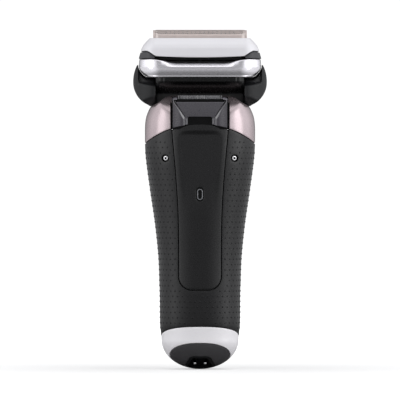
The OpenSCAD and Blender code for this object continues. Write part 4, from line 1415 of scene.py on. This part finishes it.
def make_wing(side, name):
    """Raised flank beside the trimmer's cover, with a broad bevel down to it."""
    roll = 0.08
    gap = roll
    out = 12.75 - roll
    bevel = 1.05
    legs = plate_line(7) + roll
    inner_edge = [(6.7 + gap, legs), (6.75 + gap, 5.6), (7.25 + gap, 6.4),
                  (11.35 + gap * 0.9, 13.0), (11.5 + gap, 13.6)]
    low = [(x, plate_line(x) + roll) for x in (out, 11, 9)]
    top = arc_points((out - 1.2, 13.2), 1.2, 0, 110, 8)
    outer = inner_edge + top[::-1] + low
    outer = [(side * x, z) for x, z in outer]

    def face(x, z):
        away = smoothstep(8.5, 13, abs(x))
        slope = 1 - min(1.0, line_distance(abs(x), z, inner_edge) / bevel)
        return in_trimmer(x, -1.35 + 0.95 * away + 0.8 * slope, z)

    step = 0.35
    wing = skin(name, resample(outer, step), [], grid_points(-14, 14, -1, 15, step), face, step, roll, 1.3)
    finish_piece(wing, "handle", "bay_gloss", "bay_gloss")


# ---- Screws ----


def turned(name, base, axis, profile, sides=28):
    """A lathed body: profile gives (radius, height along the axis) from one end's middle to the other's."""
    u = axis.cross(Vector((0, 0, 1))).normalized()
    v = axis.cross(u)
    verts = []
    for r, h in profile:
        turns = [2 * math.pi * k / sides for k in range(sides)]
        verts += [base + axis * h + (u * math.cos(t) + v * math.sin(t)) * r for t in turns]
    faces = tube_faces(len(profile), sides)
    start = (len(profile) - 1) * sides
    faces += [tuple(range(sides))[::-1], tuple(range(start, start + sides))]
    return add_object(name, verts, face_outwards(verts, faces))


def make_screws():
    """Two polished screws with a hollow drive, each square to the grip's surface and sunk into it."""
    profile = [(0.8, -5.5), (0.8, -1.3), (1.15, -1.2), (1.2, -0.55), (1.05, -0.32),
               (0.75, -0.22), (0.58, -0.26), (0.52, -0.5), (0.5, -1.1), (0.02, -1.15)]
    recess = [(0.5, -1.08), (0.49, -0.5), (0.47, -0.42), (0.3, -0.55), (0.02, -0.6)]
    for side, name in ((-1, "Handle_screw_left"), (1, "Handle_screw_right")):
        angle = surface_angle(side * SCREW_X, SCREW_Z, BACK)
        place = around(angle, SCREW_Z)
        axis = surface_normal(angle, SCREW_Z)
        screw = turned(name, place, axis, profile)
        finish_piece(screw, "handle", "screw_steel", "screw_steel", "handle_screws")
        drive = turned(name + "_recess", place, axis, recess)
        finish_piece(drive, "handle", "shadow_black", "screw_steel")


# ---- Pieces that keep their CAD shape ----

KEPT = {
    "inner_housing": ("black_plastic", 0.15),
    "inlet_socket": ("inlet_black", 0.2),
    "inlet_pins": ("pin_chrome", 0.1),
    "chassis": ("grey_plastic", 0.2),
    "battery": ("battery_sleeve", 0.3),
    "battery_tabs": ("nickel", 0.05),
    "circuit_board": ("board_green", 0.08),
    "power_switch": ("black_plastic", 0.15),
    "power_button": ("chrome_trim", 0.4),
    "power_bezel": ("satin_silver", 0.25),
    "head_lock_slider": ("grey_plastic", 0.12),
    "pivot_pins": ("chrome_trim", 0.2),
    "pivot_bushes": ("bush_brass", 0.15),
    "head_deck": ("shadow_black", 0.2),
    "drive_coil": ("coil_copper", 0.3),
    "drive_guides": ("chrome_trim", 0.1),
    "drive_armature": ("armature_steel", 0.15),
    "cassette_base": ("shadow_black", 0.2),
    "foil_rear_frame": ("foil_metal", 0.15),
    "foil_front_frame": ("foil_metal", 0.15),
    "cutter_rear": ("blade_steel", 0.04),
    "cutter_front": ("blade_steel", 0.04),
    "middle_comb": ("blade_steel", 0.08),
    "middle_blade": ("blade_steel", 0.05),
    "trimmer_bay": ("shadow_black", 0.2),
    "trimmer_carriage": ("shadow_black", 0.2),
    "trimmer_comb": ("blade_steel", 0.08),
    "trimmer_blade": ("blade_steel", 0.06),
}


def dress_node(node, look, bevel):
    """Gives a CAD node its finish and soft edges. Its mesh isn't touched."""
    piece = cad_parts[node]
    for slot in piece.material_slots:
        slot.material = MATERIALS[look]
    if bevel > 0:
        weld = piece.modifiers.new("Weld", "WELD")
        weld.merge_threshold = 0.003 * MM
        edge = piece.modifiers.new("Bevel", "BEVEL")
        edge.width = bevel * MM
        edge.segments = 2
        edge.limit_method = "ANGLE"
        edge.angle_limit = math.radians(35)
        edge.use_clamp_overlap = True
        edge.harden_normals = False


def make_springs(name, node):
    """The springs of a CAD node on a mesh of their own."""
    piece = add_object(name, *node_mesh(node))
    finish_piece(piece, "cassette", "chrome_trim", "chrome_trim", node)
    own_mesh(piece)


# Underside of the head ring's ends: distance from the middle, and height
RING_END = [(21, 138.0), (24.8, 138.0), (25.4, 138.15), (25.95, 138.4), (26.5, 138.75), (27.2, 139.4),
            (28.05, 140.45), (28.6, 141.55), (29.6, 143.0)]


def ear_filling(side):
    """A saddle in the ear's pocket, just clear of the ring's round end as the head tips.

    Its height at each place is the lowest that the ring's underside comes to there.
    """
    tip = math.radians(20)
    gap = 0.1
    start, stop = 21.3, 29.5
    xs = np.linspace(start, stop, 22)
    depths = np.linspace(-5.0, 5.0, 15)
    low = 134.5
    verts = []
    for x in xs:
        under = float(np.interp(x, *zip(*RING_END))) - PIVOT_Z - gap
        narrowing = 1 - 0.25 * smoothstep(25, stop, x)
        for d in depths:
            height = min(under, under / math.cos(tip) - abs(d) * math.tan(tip))
            verts.append(Vector((side * x, HEAD_Y + d * narrowing, PIVOT_Z + height)))
    rows, columns = len(xs), len(depths)
    count = rows * columns
    verts += [Vector((v.x, v.y, low)) for v in verts]
    faces = []
    for i in range(rows - 1):
        for j in range(columns - 1):
            a = i * columns + j
            quad = (a, a + columns, a + columns + 1, a + 1)
            faces += [quad, tuple(k + count for k in reversed(quad))]
    rim = [j for j in range(columns)] + [i * columns + columns - 1 for i in range(1, rows)]
    rim += [(rows - 1) * columns + j for j in reversed(range(columns - 1))]
    rim += [i * columns for i in reversed(range(1, rows - 1))]
    for k, a in enumerate(rim):
        b = rim[(k + 1) % len(rim)]
        faces.append((a, b, b + count, a + count))
    return verts, faces


YOKE_HD = 6.8


def make_ears():
    """The yoke, with flat inner faces beside the lower head and a slimmer strip across the neck."""
    ears = rounded_copy("Yoke", ["head_yoke"], 0.4, 8, [ear_filling(-1), ear_filling(1)])
    inner_face = 20.99
    for v in ears.data.vertices:
        if abs(v.co.x) < 21.4 * MM and v.co.z > 129 * MM:
            v.co.x = math.copysign(inner_face * MM, v.co.x)
        slim = 1 - smoothstep(EAR_X, 21.0, abs(v.co.x) / MM)
        v.co.y = HEAD_Y * MM + (v.co.y - HEAD_Y * MM) * (1 - slim * (1 - NECK_HD / YOKE_HD))
    finish_piece(ears, "handle", "yoke_grey", "yoke_grey", "head_yoke")


# ---- Stage, lights, camera ----

TARGET = Vector((0, 0, 0.0798))
DISTANCE = 3.0
FRAME_HEIGHT = 0.1888
SENSOR = 36.0
LEFT_WALL = 1.15
RIGHT_WALL = 1.4
CEILING = 0.5
FRONT_WALL = 0.34
BACK_SHARE = 0.3
DIM_WALL = 0.08
WALL_START = 0.14
WALL_FULL = 0.52
SEEN_WHITE = 1.05
PAPER = (0.72, 0.72, 0.72, 1)
PAPER_DIM = (0.12, 0.12, 0.12, 1)
PAPER_BRIGHT = (0.9, 0.9, 0.9, 1)


def make_camera():
    data = bpy.data.cameras.new("Camera")
    data.sensor_width = SENSOR
    data.lens = SENSOR * DISTANCE / FRAME_HEIGHT
    data.clip_start = 0.05
    data.clip_end = 20
    camera = bpy.data.objects.new("Camera", data)
    camera.location = TARGET + Vector((0, -DISTANCE, 0))
    camera.rotation_euler = (math.radians(90), 0, 0)
    scene.collection.objects.link(camera)
    scene.camera = camera


def make_light(name, place, power, size_x, size_y, color=(1, 1, 1)):
    """A softbox that faces the middle of the object."""
    data = bpy.data.lights.new(name, "AREA")
    data.shape = "RECTANGLE"
    data.size = size_x
    data.size_y = size_y
    data.energy = power
    data.color = color
    light = bpy.data.objects.new(name, data)
    light.location = place
    light.rotation_euler = (TARGET - Vector(place)).to_track_quat("-Z", "Y").to_euler()
    light.visible_camera = False
    scene.collection.objects.link(light)


def make_world():
    """White where the camera looks past the object. For light and reflections it's a room with bright side
    walls that fade towards the back, a bright ceiling, a dimmer wall in front and a dark one behind."""
    world = bpy.data.worlds.new("Studio")
    world.use_nodes = True
    scene.world = world
    tree = world.node_tree
    tree.nodes.clear()
    output = tree.nodes.new("ShaderNodeOutputWorld")
    seen = tree.nodes.new("ShaderNodeBackground")
    seen.inputs["Color"].default_value = (1, 1, 1, 1)
    seen.inputs["Strength"].default_value = SEEN_WHITE
    split = tree.nodes.new("ShaderNodeSeparateXYZ")
    link(tree, tree.nodes.new("ShaderNodeTexCoord").outputs["Generated"], split.inputs["Vector"])
    left = range_node(tree, split.outputs["X"], LEFT_WALL, 0, -WALL_FULL, -WALL_START)
    right = range_node(tree, split.outputs["X"], 0, RIGHT_WALL, WALL_START, WALL_FULL)
    above = range_node(tree, split.outputs["Z"], DIM_WALL, CEILING, 0.35, 0.85)
    front = range_node(tree, split.outputs["Y"], FRONT_WALL, 0, -0.85, -0.25)
    fade = range_node(tree, split.outputs["Y"], 1, BACK_SHARE, 0.05, 0.9)
    sides = math_node(tree, "MULTIPLY", math_node(tree, "ADD", left, right), fade)
    walls = math_node(tree, "MAXIMUM", sides, front)
    room = tree.nodes.new("ShaderNodeBackground")
    room.inputs["Color"].default_value = (0.98, 0.985, 1, 1)
    link(tree, math_node(tree, "MAXIMUM", walls, above), room.inputs["Strength"])
    path = tree.nodes.new("ShaderNodeLightPath")
    mix = tree.nodes.new("ShaderNodeMixShader")
    link(tree, path.outputs["Is Camera Ray"], mix.inputs["Fac"])
    link(tree, room.outputs["Background"], mix.inputs[1])
    link(tree, seen.outputs["Background"], mix.inputs[2])
    link(tree, mix.outputs["Shader"], output.inputs["Surface"])


def make_floor():
    """Pale paper that glows to white for the camera, less so near the object, where its shadow shows.

    It's dimmer in reflections, so that polished metal shows a dark underside.
    """
    half = 3000.0
    corners = [(-half, -half, 0), (half, -half, 0), (half, half, 0), (-half, half, 0)]
    floor = add_object("Floor", corners, [(0, 1, 2, 3)])
    paper = bpy.data.materials.new("paper")
    paper.use_nodes = True
    tree = paper.node_tree
    shader = tree.nodes["Principled BSDF"]
    path = tree.nodes.new("ShaderNodeLightPath")
    place = tree.nodes.new("ShaderNodeTexCoord").outputs["Object"]
    away = tree.nodes.new("ShaderNodeVectorMath")
    away.operation = "LENGTH"
    link(tree, place, away.inputs[0])
    split = tree.nodes.new("ShaderNodeSeparateXYZ")
    link(tree, place, split.inputs["Vector"])
    aside = math_node(tree, "ABSOLUTE", split.outputs["X"], split.outputs["X"])
    reach = math_node(tree, "MAXIMUM", range_node(tree, aside, 0, 1, 0.04, 0.3),
                      range_node(tree, away.outputs["Value"], 0, 0.5, 0.2, 1.2))
    mirrored_floor = mix_node(tree, reach, PAPER_DIM, PAPER_BRIGHT)
    pale = mix_node(tree, path.outputs["Is Glossy Ray"], PAPER, mirrored_floor)
    link(tree, pale, shader.inputs["Base Color"])
    shader.inputs["Roughness"].default_value = 0.9
    glow = tree.nodes.new("ShaderNodeEmission")
    link(tree, range_node(tree, away.outputs["Value"], 0.35, 0.9, 0.05, 0.5), glow.inputs["Strength"])
    both = tree.nodes.new("ShaderNodeAddShader")
    mix = tree.nodes.new("ShaderNodeMixShader")
    link(tree, shader.outputs["BSDF"], both.inputs[0])
    link(tree, glow.outputs["Emission"], both.inputs[1])
    link(tree, path.outputs["Is Camera Ray"], mix.inputs["Fac"])
    link(tree, shader.outputs["BSDF"], mix.inputs[1])
    link(tree, both.outputs["Shader"], mix.inputs[2])
    link(tree, mix.outputs["Shader"], tree.nodes["Material Output"].inputs["Surface"])
    floor.data.materials.append(paper)


def make_stage():
    make_camera()
    make_world()
    make_floor()
    make_light("Left", (-0.8, -0.58, 0.2), 1.2, 0.4, 0.9)
    make_light("Right", (0.8, -0.58, 0.2), 1.5, 0.4, 0.9)
    make_light("Top", (0, -0.45, 0.9), 0.8, 0.7, 0.5)
    scene.view_settings.view_transform = "Standard"
    scene.view_settings.look = "None"


make_grip()
make_dots()
make_shoulder()
make_back_plate()
make_thumb_marker()
make_front_plate()
make_lower_end()
make_head_ring()
make_head_shell()
make_bellows()
make_ears()
make_release_buttons()
make_cassette_frame()
make_foil("Foil_rear", -5.9, "rear_foil", "foil_rear")
make_foil("Foil_front", 5.9, "front_foil", "foil_front")
make_springs("Foil_rear_coils", "foil_rear_springs")
make_springs("Foil_front_coils", "foil_front_springs")
make_springs("Middle_coils", "middle_springs")
make_trimmer()
make_screws()
for node, (look, bevel) in KEPT.items():
    dress_node(node, look, bevel)
make_stage()

bpy.context.view_layer.update()
